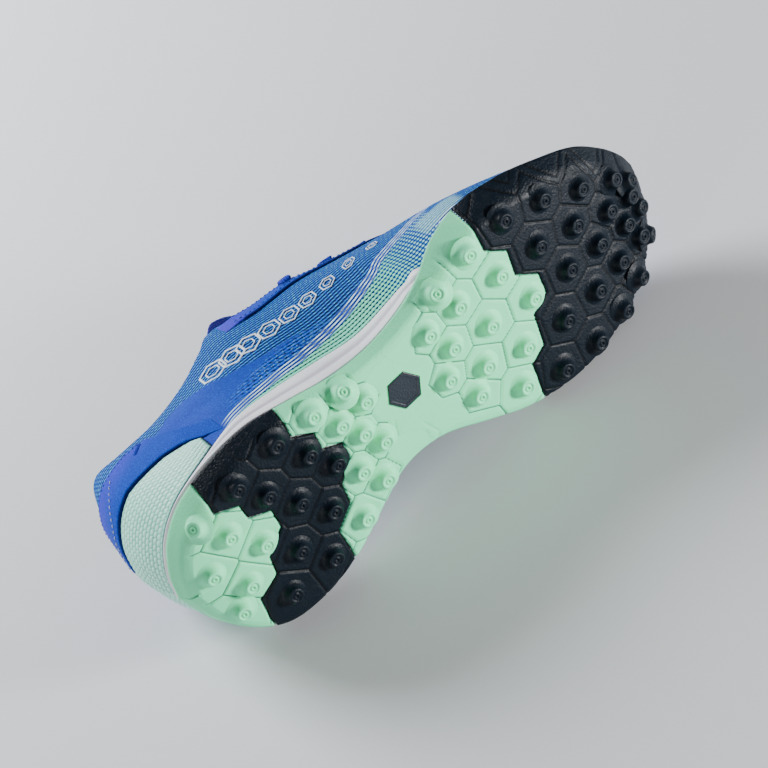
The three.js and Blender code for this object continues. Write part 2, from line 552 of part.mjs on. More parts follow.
// A plate over part of the upper between two lifts; point(i, j, lift) gives its grid
function plateSolid(columns, rows, point) {
  const points = [], faces = [];
  for (const side of [0, 1]) {
    for (let j = 0; j <= rows; j++) for (let i = 0; i <= columns; i++) points.push(point(i / columns, j / rows, side));
  }
  const at = (side, j, i) => (side * (rows + 1) + j) * (columns + 1) + i;
  const quad = (a, b, c, d) => faces.push([a, b, c], [a, c, d]);
  for (let j = 0; j < rows; j++) {
    for (let i = 0; i < columns; i++) {
      quad(at(1, j, i), at(1, j, i + 1), at(1, j + 1, i + 1), at(1, j + 1, i));
      quad(at(0, j, i), at(0, j + 1, i), at(0, j + 1, i + 1), at(0, j, i + 1));
    }
    quad(at(0, j, 0), at(1, j, 0), at(1, j + 1, 0), at(0, j + 1, 0));
    quad(at(0, j, columns), at(0, j + 1, columns), at(1, j + 1, columns), at(1, j, columns));
  }
  for (let i = 0; i < columns; i++) {
    quad(at(0, 0, i), at(0, 0, i + 1), at(1, 0, i + 1), at(1, 0, i));
    quad(at(0, rows, i), at(1, rows, i), at(1, rows, i + 1), at(0, rows, i + 1));
  }
  return geometry(points, faces);
}
// Position on one side at which the outline reaches x
function positionAt(x) {
  let low = 0, high = 1;
  for (let k = 0; k < 40; k++) {
    const middle = (low + high) / 2;
    if (outline(middle)[0] < x) low = middle; else high = middle;
  }
  return (low + high) / 2;
}
// Height just above the midsole's edge for a piece lifted off a wall that leans out
function clearOfSole(p, lift = 0) {
  const s = section(p);
  const lean = Math.max(0, column(TOPLINE, 'out1', s.row) / column(TOPLINE, 'up1', s.row));
  return inward(s, 1.2, s.band + Math.max(0.9, s.strip))[2] + 0.6 + lift * lean / Math.hypot(1, lean);
}
const topOf = (rows, p) => lookup(rows, 'x', 'z', outline(p)[0] / LENGTH) * HEIGHT;
function heelCounter() {
  const end = positionAt(COUNTER_END);
  return plateSolid(20, 6, (s, t, side) => {
    const p = mix(-end, end, s);
    const low = heightOn(p, clearOfSole(p, SEATED + COUNTER)), high = heightOn(p, topOf(COUNTER_TOP, p));
    return lifted(p, mix(low, high, t), side ? SEATED + COUNTER : SEATED);
  });
}
function heelOverlay() {
  const end = positionAt(OVERLAY_END), inner = positionAt(COUNTER_END);
  return plateSolid(24, 5, (s, t, side) => {
    const p = mix(-end, end, s);
    const bare = smooth(inner + 0.002, inner + 0.03, Math.abs(p));
    const low = heightOn(p, mix(topOf(COUNTER_TOP, p) + 1.2, clearOfSole(p) + 3, bare));
    const high = heightOn(p, topOf(OVERLAY_TOP, p));
    return lifted(p, mix(low, high, t), side ? SEATED + OVERLAY : SEATED);
  });
}
// Raised band along the throat, from one collar corner round the front to the other
function eyestay() {
  const from = 7.2 / LAST_ROW;
  return plateSolid(40, 2, (s, t, side) => {
    const p = mix(from, 2 - from, s);
    const c = sideCurve(p);
    const run = Math.hypot(...[0, 1, 2].map((k) => 3 * (c[3][k] - c[2][k])));
    const width = mix(...EYESTAY_WIDE, smooth(0.6, 1, 1 - Math.abs(1 - p)));
    return lifted(p, mix(1 - width / run, 1 - EYESTAY_EDGE / run, t), side ? 2 * SEATED + EYESTAY : SEATED);
  });
}

function tongue() {
  const spine = new THREE.CatmullRomCurve3(TONGUE_ROWS.map((r) =>
    new THREE.Vector3(r.x * LENGTH, r.middle * WIDTH, r.z * HEIGHT)), false, 'catmullrom', 0.5);
  const count = TONGUE_ROWS.length - 1;
  return plateSolid(14, 8, (s, t, side) => {
    const at = spine.getPoint(s), along = spine.getTangent(s);
    const half = column(TONGUE_ROWS, 'half', s * count) * WIDTH;
    const drop = column(TONGUE_ROWS, 'drop', s * count) * HEIGHT;
    const a = mix(-1, 1, t);
    const up = new THREE.Vector3(-along.z, 0, along.x).normalize();
    if (up.z < 0) up.negate();
    const lean = 2 * drop * a / half * 0.5;
    const normal = new THREE.Vector3(0, lean, 0).add(up).normalize();
    const p = at.clone().add(new THREE.Vector3(0, a * half, 0)).addScaledVector(up, -drop * a * a);
    const thick = mix(TONGUE, TONGUE_EDGE, Math.pow(Math.abs(a), 4));
    p.addScaledVector(normal, side ? 0 : -thick);
    return [p.x, p.y, p.z];
  });
}
// Height of the tongue's upper face over a plan point
const TONGUE_BACK = [...TONGUE_ROWS].reverse();
function tongueTop(x, y) {
  const at = (name) => lookup(TONGUE_BACK, 'x', name, x / LENGTH);
  const a = (y - at('middle') * WIDTH) / (at('half') * WIDTH);
  return (at('z') - at('drop') * a * a) * HEIGHT;
}
// Flat lace bars over the throat, clear of tongue and eyestay
function laceBar(index) {
  const p = mix(...LACE_ROWS, index / (LACE_BARS - 1)) / LAST_ROW;
  const run = (q) => { const c = sideCurve(q); return Math.hypot(...[0, 1, 2].map((k) => 3 * (c[3][k] - c[2][k]))); };
  const edge = (q, below, lift) => new THREE.Vector3(...lifted(q, 1 - below / run(q), lift));
  const path = [edge(p, LACE_END, LACE_LIFT), edge(p, LACE_BEND, LACE_LIFT + 0.1)];
  const far = [edge(2 - p, LACE_BEND, LACE_LIFT + 0.1), edge(2 - p, LACE_END, LACE_LIFT)];
  const left = edge(p, 0, LACE_OVER), right = edge(2 - p, 0, LACE_OVER);
  path.push(left);
  for (const t of [0.2, 0.5, 0.8]) {
    const q = left.clone().lerp(right, t);
    q.z = Math.max(q.z + 4 * t * (1 - t) * LACE_RISE, tongueTop(q.x - 0.3 * LACE_WIDTH, q.y) + 1.5 * LACE_CLEAR,
      tongueTop(q.x + LACE_WIDTH / 2, q.y) + LACE_CLEAR);
    path.push(q);
  }
  path.push(right, ...far);
  const curve = new THREE.CatmullRomCurve3(path, false, 'centripetal');
  const before = new THREE.Vector3(...onUpper(p - 0.02, 1)), after = new THREE.Vector3(...onUpper(p + 0.02, 1));
  const along = after.sub(before).setY(0).normalize();
  return plateSolid(12, 1, (s, t, side) => {
    const q = curve.getPoint(s), way = curve.getTangent(s);
    const up = new THREE.Vector3().crossVectors(along, way).normalize();
    if (up.z < 0) up.negate();
    q.addScaledVector(along, mix(-LACE_WIDTH / 2, LACE_WIDTH / 2, t));
    q.addScaledVector(up, side ? LACE_THICK : 0);
    return [q.x, q.y, q.z];
  });
}
const parts = outsoleParts();
parts.midsole = midsole();
parts.insole = insole();
parts.upper = upper();
parts.heel_counter = heelCounter();
parts.heel_overlay = heelOverlay();
parts.eyestay = eyestay();
parts.tongue = tongue();
for (let k = 0; k < LACE_BARS; k++) parts[`lace_bar_${k + 1}`] = laceBar(k);

const PAINT = { outsole_toe: 'dark', outsole_heel: 'dark', arch_inlay: 'dark', outsole_rear: 'mint', outsole_middle: 'mint',
  midsole: 'white', insole: 'inside', upper: 'blue', heel_counter: 'aqua', heel_overlay: 'violet',
  eyestay: 'blue', tongue: 'violet' };

const shoe = new THREE.Group();
const meshes = Object.entries(parts).map(([name, shape]) => {
  const [colour, roughness] = COLOURS[PAINT[name] ?? 'lace'];
  const plain = shape.clone();
  plain.deleteAttribute('normal');
  plain.deleteAttribute('uv');
  const clean = mergeVertices(plain, 1e-4);
  clean.computeVertexNormals();
  const mesh = new THREE.Mesh(clean, new THREE.MeshStandardMaterial({ color: colour, roughness, metalness: 0 }));
  mesh.name = name;
  shoe.add(mesh);
  return mesh;
});

// Resting on the inner side: of the hull faces there, the one that holds the centre of mass best
// becomes the floor
function centreOfMass() {
  const sum = new THREE.Vector3();
  let whole = 0;
  const a = new THREE.Vector3(), b = new THREE.Vector3(), c = new THREE.Vector3();
  for (const mesh of meshes) {
    const p = mesh.geometry.getAttribute('position'), index = mesh.geometry.getIndex().array;
    for (let i = 0; i < index.length; i += 3) {
      a.fromBufferAttribute(p, index[i]); b.fromBufferAttribute(p, index[i + 1]); c.fromBufferAttribute(p, index[i + 2]);
      const part = a.dot(b.clone().cross(c)) / 6;
      whole += part;
      sum.addScaledVector(a.clone().add(b).add(c), part / 4);
    }
  }
  return sum.divideScalar(whole);
}
function restingPlane() {
  const points = [];
  for (const mesh of meshes) {
    const p = mesh.geometry.getAttribute('position');
    for (let i = 0; i < p.count; i++) points.push(new THREE.Vector3().fromBufferAttribute(p, i));
  }
  const centre = centreOfMass();
  const hull = new ConvexHull().setFromPoints(points);
  let best = null;
  for (const face of hull.faces) {
    const n = face.normal;
    if (n.y < 0.8) continue;
    const corners = [];
    let edge = face.edge;
    do { corners.push(edge.head().point); edge = edge.next; } while (edge !== face.edge);
    let room = Infinity;
    for (let k = 0; k < corners.length; k++) {
      const u = corners[k], v = corners[(k + 1) % corners.length];
      const side = v.clone().sub(u).cross(centre.clone().sub(u)).dot(n) / v.clone().sub(u).length();
      room = Math.min(room, side);
    }
    if (room > 0 && (!best || room > best.room)) best = { room, normal: n.clone(), corners: corners.map((c) => c.clone()) };
  }
  return { ...best, centre };
}
const rest = restingPlane();
const down = new THREE.Vector3(0, 0, -1);
const lay = new THREE.Quaternion().setFromUnitVectors(rest.normal, down);
const toeward = new THREE.Vector3(1, 0, 0).applyQuaternion(lay);
const turn = new THREE.Quaternion().setFromAxisAngle(new THREE.Vector3(0, 0, 1), -Math.atan2(toeward.y, toeward.x));
const pose = turn.multiply(lay);
const box = new THREE.Box3();
for (const mesh of meshes) {
  const p = mesh.geometry.getAttribute('position');
  const v = new THREE.Vector3();
  for (let i = 0; i < p.count; i++) box.expandByPoint(v.fromBufferAttribute(p, i).applyQuaternion(pose));
}
const group = new THREE.Group();
shoe.quaternion.copy(pose);
shoe.position.set(-(box.min.x + box.max.x) / 2, -(box.min.y + box.max.y) / 2, -box.min.z);
group.add(shoe);

export default group;
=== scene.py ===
import math
import bpy
import numpy as np
from mathutils import Matrix, Vector


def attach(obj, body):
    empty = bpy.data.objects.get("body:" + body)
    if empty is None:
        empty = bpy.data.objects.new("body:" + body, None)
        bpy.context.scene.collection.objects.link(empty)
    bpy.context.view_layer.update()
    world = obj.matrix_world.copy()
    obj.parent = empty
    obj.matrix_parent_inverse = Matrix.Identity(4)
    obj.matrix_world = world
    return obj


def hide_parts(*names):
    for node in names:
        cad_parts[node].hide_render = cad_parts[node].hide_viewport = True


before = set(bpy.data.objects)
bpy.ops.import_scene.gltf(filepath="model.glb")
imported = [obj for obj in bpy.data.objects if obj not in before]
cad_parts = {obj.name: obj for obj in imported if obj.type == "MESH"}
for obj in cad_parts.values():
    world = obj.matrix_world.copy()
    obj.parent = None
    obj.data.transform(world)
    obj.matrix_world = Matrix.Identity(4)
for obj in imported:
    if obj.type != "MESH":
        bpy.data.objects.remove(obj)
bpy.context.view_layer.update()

# The looks of a right turf shoe lying on its inner side. Every piece is worked out in the shoe's own
# frame (millimetres, x from heel to toe, y towards the inner side, z up from the stud tips) and then
# laid where the model lies.
MM = 0.001

# Named sizes, millimetres
LENGTH = 290
WIDTH = 110
HEIGHT = 99
STUD = 4.7
STUD_TIP = 3.95
PLATE = 3.2
BAND = 14.5
FLARE = 7
STRIP = 17.5
FOOTBED = 11
INSOLE = 4
INSOLE_SEAT = 0.45
WALL = 2
TONGUE = 4
GAP = 0.3
SEATED = 0.5
COUNTER = 1.2
OVERLAY = 1.7
EYESTAY = 1.0
EYESTAY_WIDE = (15, 9)
EYESTAY_EDGE = 1.2
TOE_SPRING = 20
SPRING_FROM = 0.655 * LENGTH
HEEL_BEVEL = 7.6
BEVEL_TO = 0.131 * LENGTH
INLAY_AT = (0.470 * LENGTH, -0.06 * WIDTH)
INLAY = 9.2
INLAY_DEPTH = 1.1

# One row per section from heel to toe: at is a share of LENGTH, lateral and medial of WIDTH, the band
# columns of BAND, the flare columns of FLARE, strip of STRIP and footbed of FOOTBED
SECTIONS = (
    ("at", "lateral", "medial", "bandLat", "bandMed", "flareLat", "flareMed", "strip", "footbed"), (
    (0.0000, 0.009, 0.009, 0.53, 0.53, 0.71, 0.60, 0.17, 0.86),
    (0.0155, -0.123, 0.185, 0.58, 0.58, 0.71, 0.50, 0.17, 0.86),
    (0.0483, -0.255, 0.330, 0.71, 0.71, 0.79, 0.40, 0.17, 0.88),
    (0.1000, -0.352, 0.428, 0.82, 0.79, 0.86, 0.33, 0.18, 0.92),
    (0.1724, -0.409, 0.452, 0.71, 0.68, 0.86, 0.30, 0.29, 0.95),
    (0.2483, -0.421, 0.415, 0.64, 0.57, 0.79, 0.28, 0.60, 0.98),
    (0.3276, -0.373, 0.327, 0.54, 0.50, 0.64, 0.28, 0.88, 1.00),
    (0.4000, -0.321, 0.250, 0.50, 0.50, 0.50, 0.28, 1.00, 1.00),
    (0.4724, -0.303, 0.268, 0.50, 0.50, 0.50, 0.28, 0.78, 0.95),
    (0.5448, -0.327, 0.378, 0.54, 0.54, 0.57, 0.28, 0.63, 0.84),
    (0.6000, -0.375, 0.464, 0.64, 0.64, 0.71, 0.30, 0.34, 0.75),
    (0.6552, -0.435, 0.518, 0.92, 0.78, 0.93, 0.32, 0.00, 0.68),
    (0.7241, -0.459, 0.547, 1.00, 0.83, 1.00, 0.32, 0.00, 0.64),
    (0.8000, -0.416, 0.541, 0.88, 0.75, 1.00, 0.36, 0.00, 0.60),
    (0.8690, -0.335, 0.505, 0.69, 0.62, 1.00, 0.50, 0.00, 0.57),
    (0.9276, -0.235, 0.432, 0.61, 0.52, 1.00, 0.64, 0.00, 0.55),
    (0.9690, -0.105, 0.314, 0.60, 0.52, 0.93, 0.71, 0.00, 0.54),
    (0.9924, 0.009, 0.182, 0.62, 0.58, 0.86, 0.79, 0.00, 0.54),
    (1.0000, 0.091, 0.091, 0.64, 0.64, 0.86, 0.86, 0.00, 0.54)))

# The upper's side curve at the same sections: its end on the collar or throat and its two handles
TOPLINE = (
    ("x", "lateral", "medial", "z", "out1", "up1", "out2", "down2"), (
    (0.0052, 0.000, 0.000, 1.000, 0.120, 0.22, 0.080, 0.32),
    (0.0121, -0.128, 0.128, 1.000, 0.105, 0.22, 0.080, 0.32),
    (0.0379, -0.232, 0.232, 0.980, 0.060, 0.22, 0.080, 0.32),
    (0.0897, -0.291, 0.291, 0.880, 0.020, 0.22, 0.080, 0.28),
    (0.1621, -0.314, 0.309, 0.838, 0.010, 0.22, 0.070, 0.26),
    (0.2345, -0.318, 0.314, 0.894, 0.010, 0.22, 0.060, 0.28),
    (0.2931, -0.318, 0.314, 1.000, 0.020, 0.22, 0.060, 0.30),
    (0.3310, -0.309, 0.309, 1.085, 0.035, 0.22, 0.090, 0.34),
    (0.4069, -0.273, 0.291, 1.055, 0.035, 0.22, 0.130, 0.32),
    (0.4759, -0.245, 0.277, 1.045, 0.030, 0.22, 0.160, 0.29),
    (0.5379, -0.205, 0.259, 0.980, 0.035, 0.22, 0.200, 0.24),
    (0.5862, -0.173, 0.236, 0.925, 0.050, 0.20, 0.230, 0.18),
    (0.6241, -0.118, 0.195, 0.880, 0.060, 0.20, 0.270, 0.12),
    (0.6448, -0.064, 0.145, 0.850, 0.060, 0.20, 0.310, 0.09),
    (0.6545, -0.018, 0.100, 0.835, 0.050, 0.19, 0.360, 0.09),
    (0.6580, 0.005, 0.077, 0.830, 0.040, 0.18, 0.410, 0.11),
    (0.6593, 0.023, 0.059, 0.828, 0.030, 0.18, 0.440, 0.13),
    (0.6598, 0.033, 0.049, 0.827, 0.025, 0.18, 0.450, 0.14),
    (0.6600, 0.041, 0.041, 0.826, 0.020, 0.18, 0.450, 0.14)))

# Rows of studs from the outer edge to the inner one, shares of LENGTH and WIDTH
STUD_ROWS = (
    (0.0572, 0.191, 0.0572, 0.191, 1, 1.0),
    (0.0600, -0.042, 0.1345, 0.290, 3, 1.12),
    (0.0866, -0.290, 0.2186, 0.301, 5, 1.0),
    (0.1752, -0.289, 0.2966, 0.266, 5, 1.05),
    (0.2631, -0.315, 0.3597, 0.192, 5, 0.88),
    (0.3355, -0.294, 0.3955, 0.044, 4, 0.87),
    (0.3941, -0.285, 0.4110, -0.169, 2, 1.0),
    (0.5338, 0.047, 0.5572, 0.215, 2, 1.0),
    (0.5514, -0.189, 0.6238, 0.346, 4, 1.28),
    (0.5997, -0.317, 0.6921, 0.429, 5, 1.265),
    (0.6762, -0.343, 0.7652, 0.462, 5, 1.05),
    (0.7534, -0.336, 0.8331, 0.462, 5, 0.92),
    (0.8255, -0.255, 0.8900, 0.420, 5, 0.82),
    (0.8900, -0.135, 0.9320, 0.283, 4, 0.70),
    (0.9480, -0.022, 0.9610, 0.187, 3, 0.69),
    (0.9720, 0.052, 0.9480, 0.326, 2, 1.0))
# Seeds in the bare waist that close the hexagons next to it, shares of LENGTH and WIDTH
WAIST_SEEDS = ((0.436, -0.055), (0.453, -0.182), (0.438, -0.300), (0.440, 0.045), (0.498, -0.075),
    (0.481, 0.064), (0.505, 0.191), (0.524, 0.345), (0.514, -0.245), (0.408, 0.290))
# Faint edges of bare hexagons in the waist, pairs of ends
WAIST_EDGES = ((0.455, 0.30, 0.472, 0.215), (0.472, 0.215, 0.462, 0.13), (0.415, 0.085, 0.428, 0.02))

# Colour borders of the outsole, shares of LENGTH and WIDTH, from the outer side to the inner one
TOE_BORDER = ((0.705, -0.70), (0.709, -0.411), (0.702, -0.282), (0.731, -0.205), (0.719, -0.087),
    (0.751, -0.004), (0.743, 0.093), (0.706, 0.126), (0.690, 0.269), (0.656, 0.305), (0.642, 0.455),
    (0.636, 0.75))
HEEL_FRONT = ((0.289, -0.70), (0.298, -0.388), (0.290, -0.274), (0.321, -0.213), (0.313, -0.132),
    (0.344, -0.080), (0.338, -0.003), (0.302, 0.072), (0.293, 0.169), (0.252, 0.234), (0.247, 0.353),
    (0.235, 0.75))
HEEL_REAR = ((0.149, -0.70), (0.125, -0.260), (0.162, -0.207), (0.160, -0.131), (0.194, -0.082),
    (0.189, 0.008), (0.145, 0.083), (0.136, 0.169), (0.091, 0.213), (0.082, 0.320), (0.070, 0.75))

# Top edges of the heel pieces: x a share of LENGTH, z of HEIGHT
COUNTER_TOP = ((-0.05, 0.555), (0.03, 0.555), (0.07, 0.55), (0.105, 0.505), (0.14, 0.465), (0.18, 0.385),
    (0.20, 0.32))
OVERLAY_TOP = ((-0.05, 0.80), (0.04, 0.81), (0.10, 0.785), (0.14, 0.745), (0.17, 0.62), (0.20, 0.50),
    (0.232, 0.40))
COUNTER_END = 0.196 * LENGTH
OVERLAY_END = 0.228 * LENGTH
OVERLAY_THINS = 0.165 * LENGTH
# Lines of the side panels: the three pale lines, and the upper edge of the suede
SIDE_LINE = ((0.20, 0.255), (0.251, 0.311), (0.283, 0.338), (0.314, 0.362), (0.363, 0.398), (0.413, 0.415),
    (0.463, 0.420), (0.506, 0.427), (0.544, 0.438), (0.596, 0.460), (0.656, 0.510), (0.687, 0.545),
    (0.76, 0.62))
SUEDE_EDGE = ((0.05, 0.78), (0.119, 0.70), (0.147, 0.69), (0.178, 0.745), (0.214, 0.755), (0.241, 0.715),
    (0.290, 0.622), (0.342, 0.580), (0.405, 0.555), (0.45, 0.50), (0.50, 0.45), (0.55, 0.43))

# The short cut in the heel overlay, its width and the bumps of the counter in millimetres
SLIT = ((0.133, 0.775), (0.122, 0.715), (0.108, 0.680))
SLIT_WIDE = 0.75
BUMP = (3.1, 2.4)

# Soft troughs and ridges of the wall: ends as (x, z) shares, width and height outwards in millimetres
CREASES = (
    (0.16, 0.62, 0.30, 0.50, 6.0, -0.7),
    (0.20, 0.70, 0.33, 0.60, 5.0, 0.6),
    (0.52, 0.62, 0.60, 0.34, 4.5, -0.5),
    (0.56, 0.66, 0.64, 0.38, 4.0, 0.35),
    (0.67, 0.66, 0.71, 0.36, 4.5, -0.45),
    (0.05, 0.66, 0.13, 0.60, 4.0, -0.4))
# Row of white stitches on the heel, shares of LENGTH and HEIGHT
HEEL_STITCHES = ((0.0, 0.60), (0.012, 0.605), (0.029, 0.62), (0.051, 0.675), (0.064, 0.72), (0.078, 0.755))

# The tongue: x of LENGTH, middle and half width of WIDTH, z of HEIGHT, drop of its edges of HEIGHT
TONGUE_ROWS = (
    ("x", "middle", "half", "z", "drop"), (
    (0.700, 0.045, 0.120, 0.762, 0.020),
    (0.660, 0.041, 0.150, 0.799, 0.030),
    (0.620, 0.036, 0.180, 0.845, 0.055),
    (0.545, 0.027, 0.220, 0.940, 0.110),
    (0.480, 0.016, 0.215, 1.080, 0.130),
    (0.445, 0.012, 0.222, 1.190, 0.140),
    (0.410, 0.006, 0.262, 1.290, 0.160),
    (0.370, 0.000, 0.275, 1.345, 0.150),
    (0.338, 0.000, 0.235, 1.380, 0.110)))
LACE_BARS = 4
LACE_ROWS = (9.0, 12.1)
LACE_WIDTH = 6.5
LACE_THICK = 1.6
# A lace's way up through the eyelet to the throat's edge: millimetres below the edge and above the wall
LACE_RISE = ((7.4, -3.2), (7.6, 0.6), (7.0, 2.3), (3.5, 2.7))
EYELET_AT = 7.6
EYELET_RING = 2.9

# The cloth of the tongue: its length and half its width, millimetres
TONGUE_RUN = 130
TONGUE_SIDE = 26
# Rows at which the collar padding, the eyestay and its stitches end
PAD_FROM = 7.0
EYESTAY_FROM = 7.2
THREAD_FROM = 7.4
# The collar padding, millimetres, and the number of its ribs
PAD_DEEP = 24.0
PAD_PUFF = 4.2
PAD_RIBS = 26
# The printed chain's first and last hexagon: places as shares of LENGTH and HEIGHT, radius and width of the
# line in millimetres
CHAIN_COUNT = 9
CHAIN_X = (0.305, 0.625)
CHAIN_Z = (0.745, 0.625)
CHAIN_RADIUS = (7.6, 3.2)
CHAIN_LINE = (1.4, 0.7)
INNER_RING = 0.52

# Grids of the larger pieces
SOLE_GRID = (520, 140)
SHELL_GRID = (620, 105)
COUNTER_GRID = (400, 98)
OVERLAY_GRID = (340, 60)
EYESTAY_GRID = (460, 26)
TONGUE_GRID = (70, 150)
# Distances that mean far from every line, and clear of grooves and edges
FAR = 60.0
CLEAR = 9.0
# Slope of the tilted cells of the outsole
CELL_TILT = 0.016

# Camera in the shoe's frame
CAMERA_AT = (-0.54242, -690.5908, -922.89228)
CAMERA_RIGHT = (0.719, 0.50994, -0.47222)
CAMERA_UP = (0.68561, -0.63176, 0.36169)
CAMERA_PIXELS = 2600
FRAME_PIXELS = 768


def catmull(p0, p1, p2, p3, t):
    return 0.5 * (2 * p1 + (p2 - p0) * t + (2 * p0 - 5 * p1 + 4 * p2 - p3) * t * t
        + (3 * p1 - p0 - 3 * p2 + p3) * t ** 3)


def column(rows, name, position):
    """Catmull-Rom through a column of a table at real row positions."""
    values = np.array(rows[1])[:, rows[0].index(name)]
    last = len(values) - 1
    position = np.asarray(position, float)
    k = np.clip(np.floor(position).astype(int), 0, last - 1)
    p1, p2 = values[k], values[k + 1]
    p0 = np.where(k > 0, values[np.maximum(k - 1, 0)], 2 * p1 - p2)
    p3 = np.where(k < last - 1, values[np.minimum(k + 2, last)], 2 * p2 - p1)
    return catmull(p0, p1, p2, p3, position - k)


def smooth(a, b, x):
    t = np.clip((np.asarray(x, float) - a) / (b - a), 0, 1)
    return t * t * (3 - 2 * t)


def mix(a, b, t):
    return a + (b - a) * t


def height_at(line, x):
    """Height of a line of (x, z) shares at x millimetres."""
    table = np.array(line)
    return np.interp(np.asarray(x) / LENGTH, table[:, 0], table[:, 1]) * HEIGHT


def notch(distance, depth, wide):
    """A soft furrow beside a line."""
    return depth * np.exp(-(distance / wide) ** 2)


def to_segment(x, y, a, b):
    """Share along the segment from a to b, and the distance from it."""
    (ax, ay), (bx, by) = a, b
    t = np.clip(((x - ax) * (bx - ax) + (y - ay) * (by - ay)) / ((bx - ax) ** 2 + (by - ay) ** 2), 0, 1)
    return t, np.hypot(x - mix(ax, bx, t), y - mix(ay, by, t))


def travelled(points, axis=0):
    """Distance covered along a row of points, or along one direction of a grid."""
    steps = np.linalg.norm(np.diff(points, axis=axis), axis=-1)
    start = np.zeros_like(np.take(steps, [0], axis=axis))
    return np.concatenate([start, np.cumsum(steps, axis=axis)], axis=axis)


def hexagon(radius, per_side, turn=0.0):
    """Points round a hexagon."""
    angle = np.arange(6) * math.pi / 3 + turn
    corners = radius * np.stack([np.cos(angle), np.sin(angle)], -1)
    along = np.linspace(0, 1, per_side, endpoint=False)[:, None]
    return np.concatenate([mix(corners[k], corners[(k + 1) % 6], along) for k in range(6)])


def base(x):
    spring = np.maximum(0, x - SPRING_FROM) / (LENGTH - SPRING_FROM)
    bevel = np.maximum(0, BEVEL_TO - x) / BEVEL_TO
    return STUD + TOE_SPRING * spring ** 2 + HEEL_BEVEL * bevel ** 2


LAST_ROW = len(SECTIONS[1]) - 1


def around(p):
    q = np.mod(p, 2)
    lateral = q <= 1
    return lateral, np.where(lateral, q, 2 - q) * LAST_ROW


def outline(p):
    lateral, row = around(p)
    y = np.where(lateral, column(SECTIONS, "lateral", row), column(SECTIONS, "medial", row))
    return column(SECTIONS, "at", row) * LENGTH, y * WIDTH


class Section:
    """Everything about the outline at positions p, which run 0 to 1 round the lateral side."""

    def __init__(self, p):
        self.lateral, self.row = around(p)
        self.x, self.y = outline(p)
        ax, ay = outline(p - 1e-3)
        bx, by = outline(p + 1e-3)
        length = np.hypot(bx - ax, by - ay)
        self.nx, self.ny = (by - ay) / length, -(bx - ax) / length
        self.band = self.side("band") * BAND
        self.flare = self.side("flare") * FLARE
        self.strip = np.maximum(0, column(SECTIONS, "strip", self.row)) * STRIP
        self.bed = column(SECTIONS, "footbed", self.row) * FOOTBED
        self.lean = column(TOPLINE, "out1", self.row) / column(TOPLINE, "up1", self.row)
        self.hidden = smooth(0.575 * LENGTH, 0.625 * LENGTH, self.x)
        self.open_seat = self.band + self.strip - 2
        self.seat = mix(self.open_seat, self.bed + 1.2, self.hidden)
        self.feather = mix(3.1 + 2.6 * self.lean, self.cup_wall(self.seat) + 1.6, self.hidden)
        self.top = self.band + np.maximum(0.9, self.strip)

    def side(self, name):
        return np.where(self.lateral, column(SECTIONS, name + "Lat", self.row),
            column(SECTIONS, name + "Med", self.row))

    def cup_wall(self, z):
        return 1.8 + (self.band - 0.6 - z) / (self.band - 0.6 - PLATE) * (self.flare + 0.8)

    def inward(self, inset, height):
        x, y = self.x - self.nx * inset, self.y - self.ny * inset
        return np.stack([x, y, base(x) + height], -1)


def side_curve(p):
    s = Section(p)
    foot = s.inward(s.feather, s.seat)
    y = np.where(s.lateral, column(TOPLINE, "lateral", s.row), column(TOPLINE, "medial", s.row)) * WIDTH
    top = np.stack([column(TOPLINE, "x", s.row) * LENGTH, y, column(TOPLINE, "z", s.row) * HEIGHT], -1)
    reach = foot[..., :2] - top[..., :2]
    reach = reach / (np.linalg.norm(reach, axis=-1, keepdims=True) + 1e-9)
    w = smooth(0.5 * LENGTH, 0.68 * LENGTH, s.x)[..., None]
    n = np.stack([s.nx, s.ny], -1)
    d = mix(n, reach, w)
    d = d / np.linalg.norm(d, axis=-1, keepdims=True)
    out1, up1, out2, down2 = [(column(TOPLINE, k, s.row) * HEIGHT)[..., None]
        for k in ("out1", "up1", "out2", "down2")]
    low = np.concatenate([foot[..., :2] + n * out1, foot[..., 2:] + up1], -1)
    high = np.concatenate([top[..., :2] + d * out2, top[..., 2:] - down2], -1)
    return foot, low, high, top


def on_upper(p, v):
    a, b, c, d = side_curve(p)
    v = np.asarray(v, float)[..., None]
    u = 1 - v
    return u ** 3 * a + 3 * u * u * v * b + 3 * u * v * v * c + v ** 3 * d


def normal_at(p, v):
    e, f = 4e-3, 1e-2
    a = on_upper(p + e, v) - on_upper(p - e, v)
    b = on_upper(p, np.minimum(1, v + f)) - on_upper(p, np.maximum(0, v - f))
    n = np.cross(a, b)
    return n / np.linalg.norm(n, axis=-1, keepdims=True)


def lifted(p, v, by):
    return on_upper(p, v) + normal_at(p, v) * np.asarray(by)[..., None]


def height_on(p, z):
    low, high = np.zeros_like(p), np.ones_like(p)
    for _ in range(24):
        middle = (low + high) / 2
        below = on_upper(p, middle)[..., 2] < z
        low, high = np.where(below, middle, low), np.where(below, high, middle)
    return (low + high) / 2


SIDE_STEPS = np.linspace(0, 1, 8001)
SIDE_X = outline(SIDE_STEPS)[0]


def position_at(x):
    """Position on the lateral side at which the outline reaches x."""
    return np.interp(x, SIDE_X, SIDE_STEPS)


# Where the shoe lies: the hexagonal inlay's corners give the shoe's axes and place

def shoe_pose():
    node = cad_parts["arch_inlay"]
    corners = np.array([list(node.matrix_world @ v.co) for v in node.data.vertices])
    corners = np.unique(np.round(corners, 6), axis=0)
    centre = corners.mean(0)
    spread = corners - centre
    up = np.linalg.svd(spread)[2][2]
    if up[1] < 0:
        up = -up
    flat = spread - np.outer(spread @ up, up)
    toeward = flat[np.argmax(flat[:, 0])]
    toeward /= np.linalg.norm(toeward)
    return centre, np.array([toeward, np.cross(up, toeward), up])


CENTRE, AXES = shoe_pose()
INLAY_MIDDLE = np.array([*INLAY_AT, STUD + INLAY_DEPTH / 2])


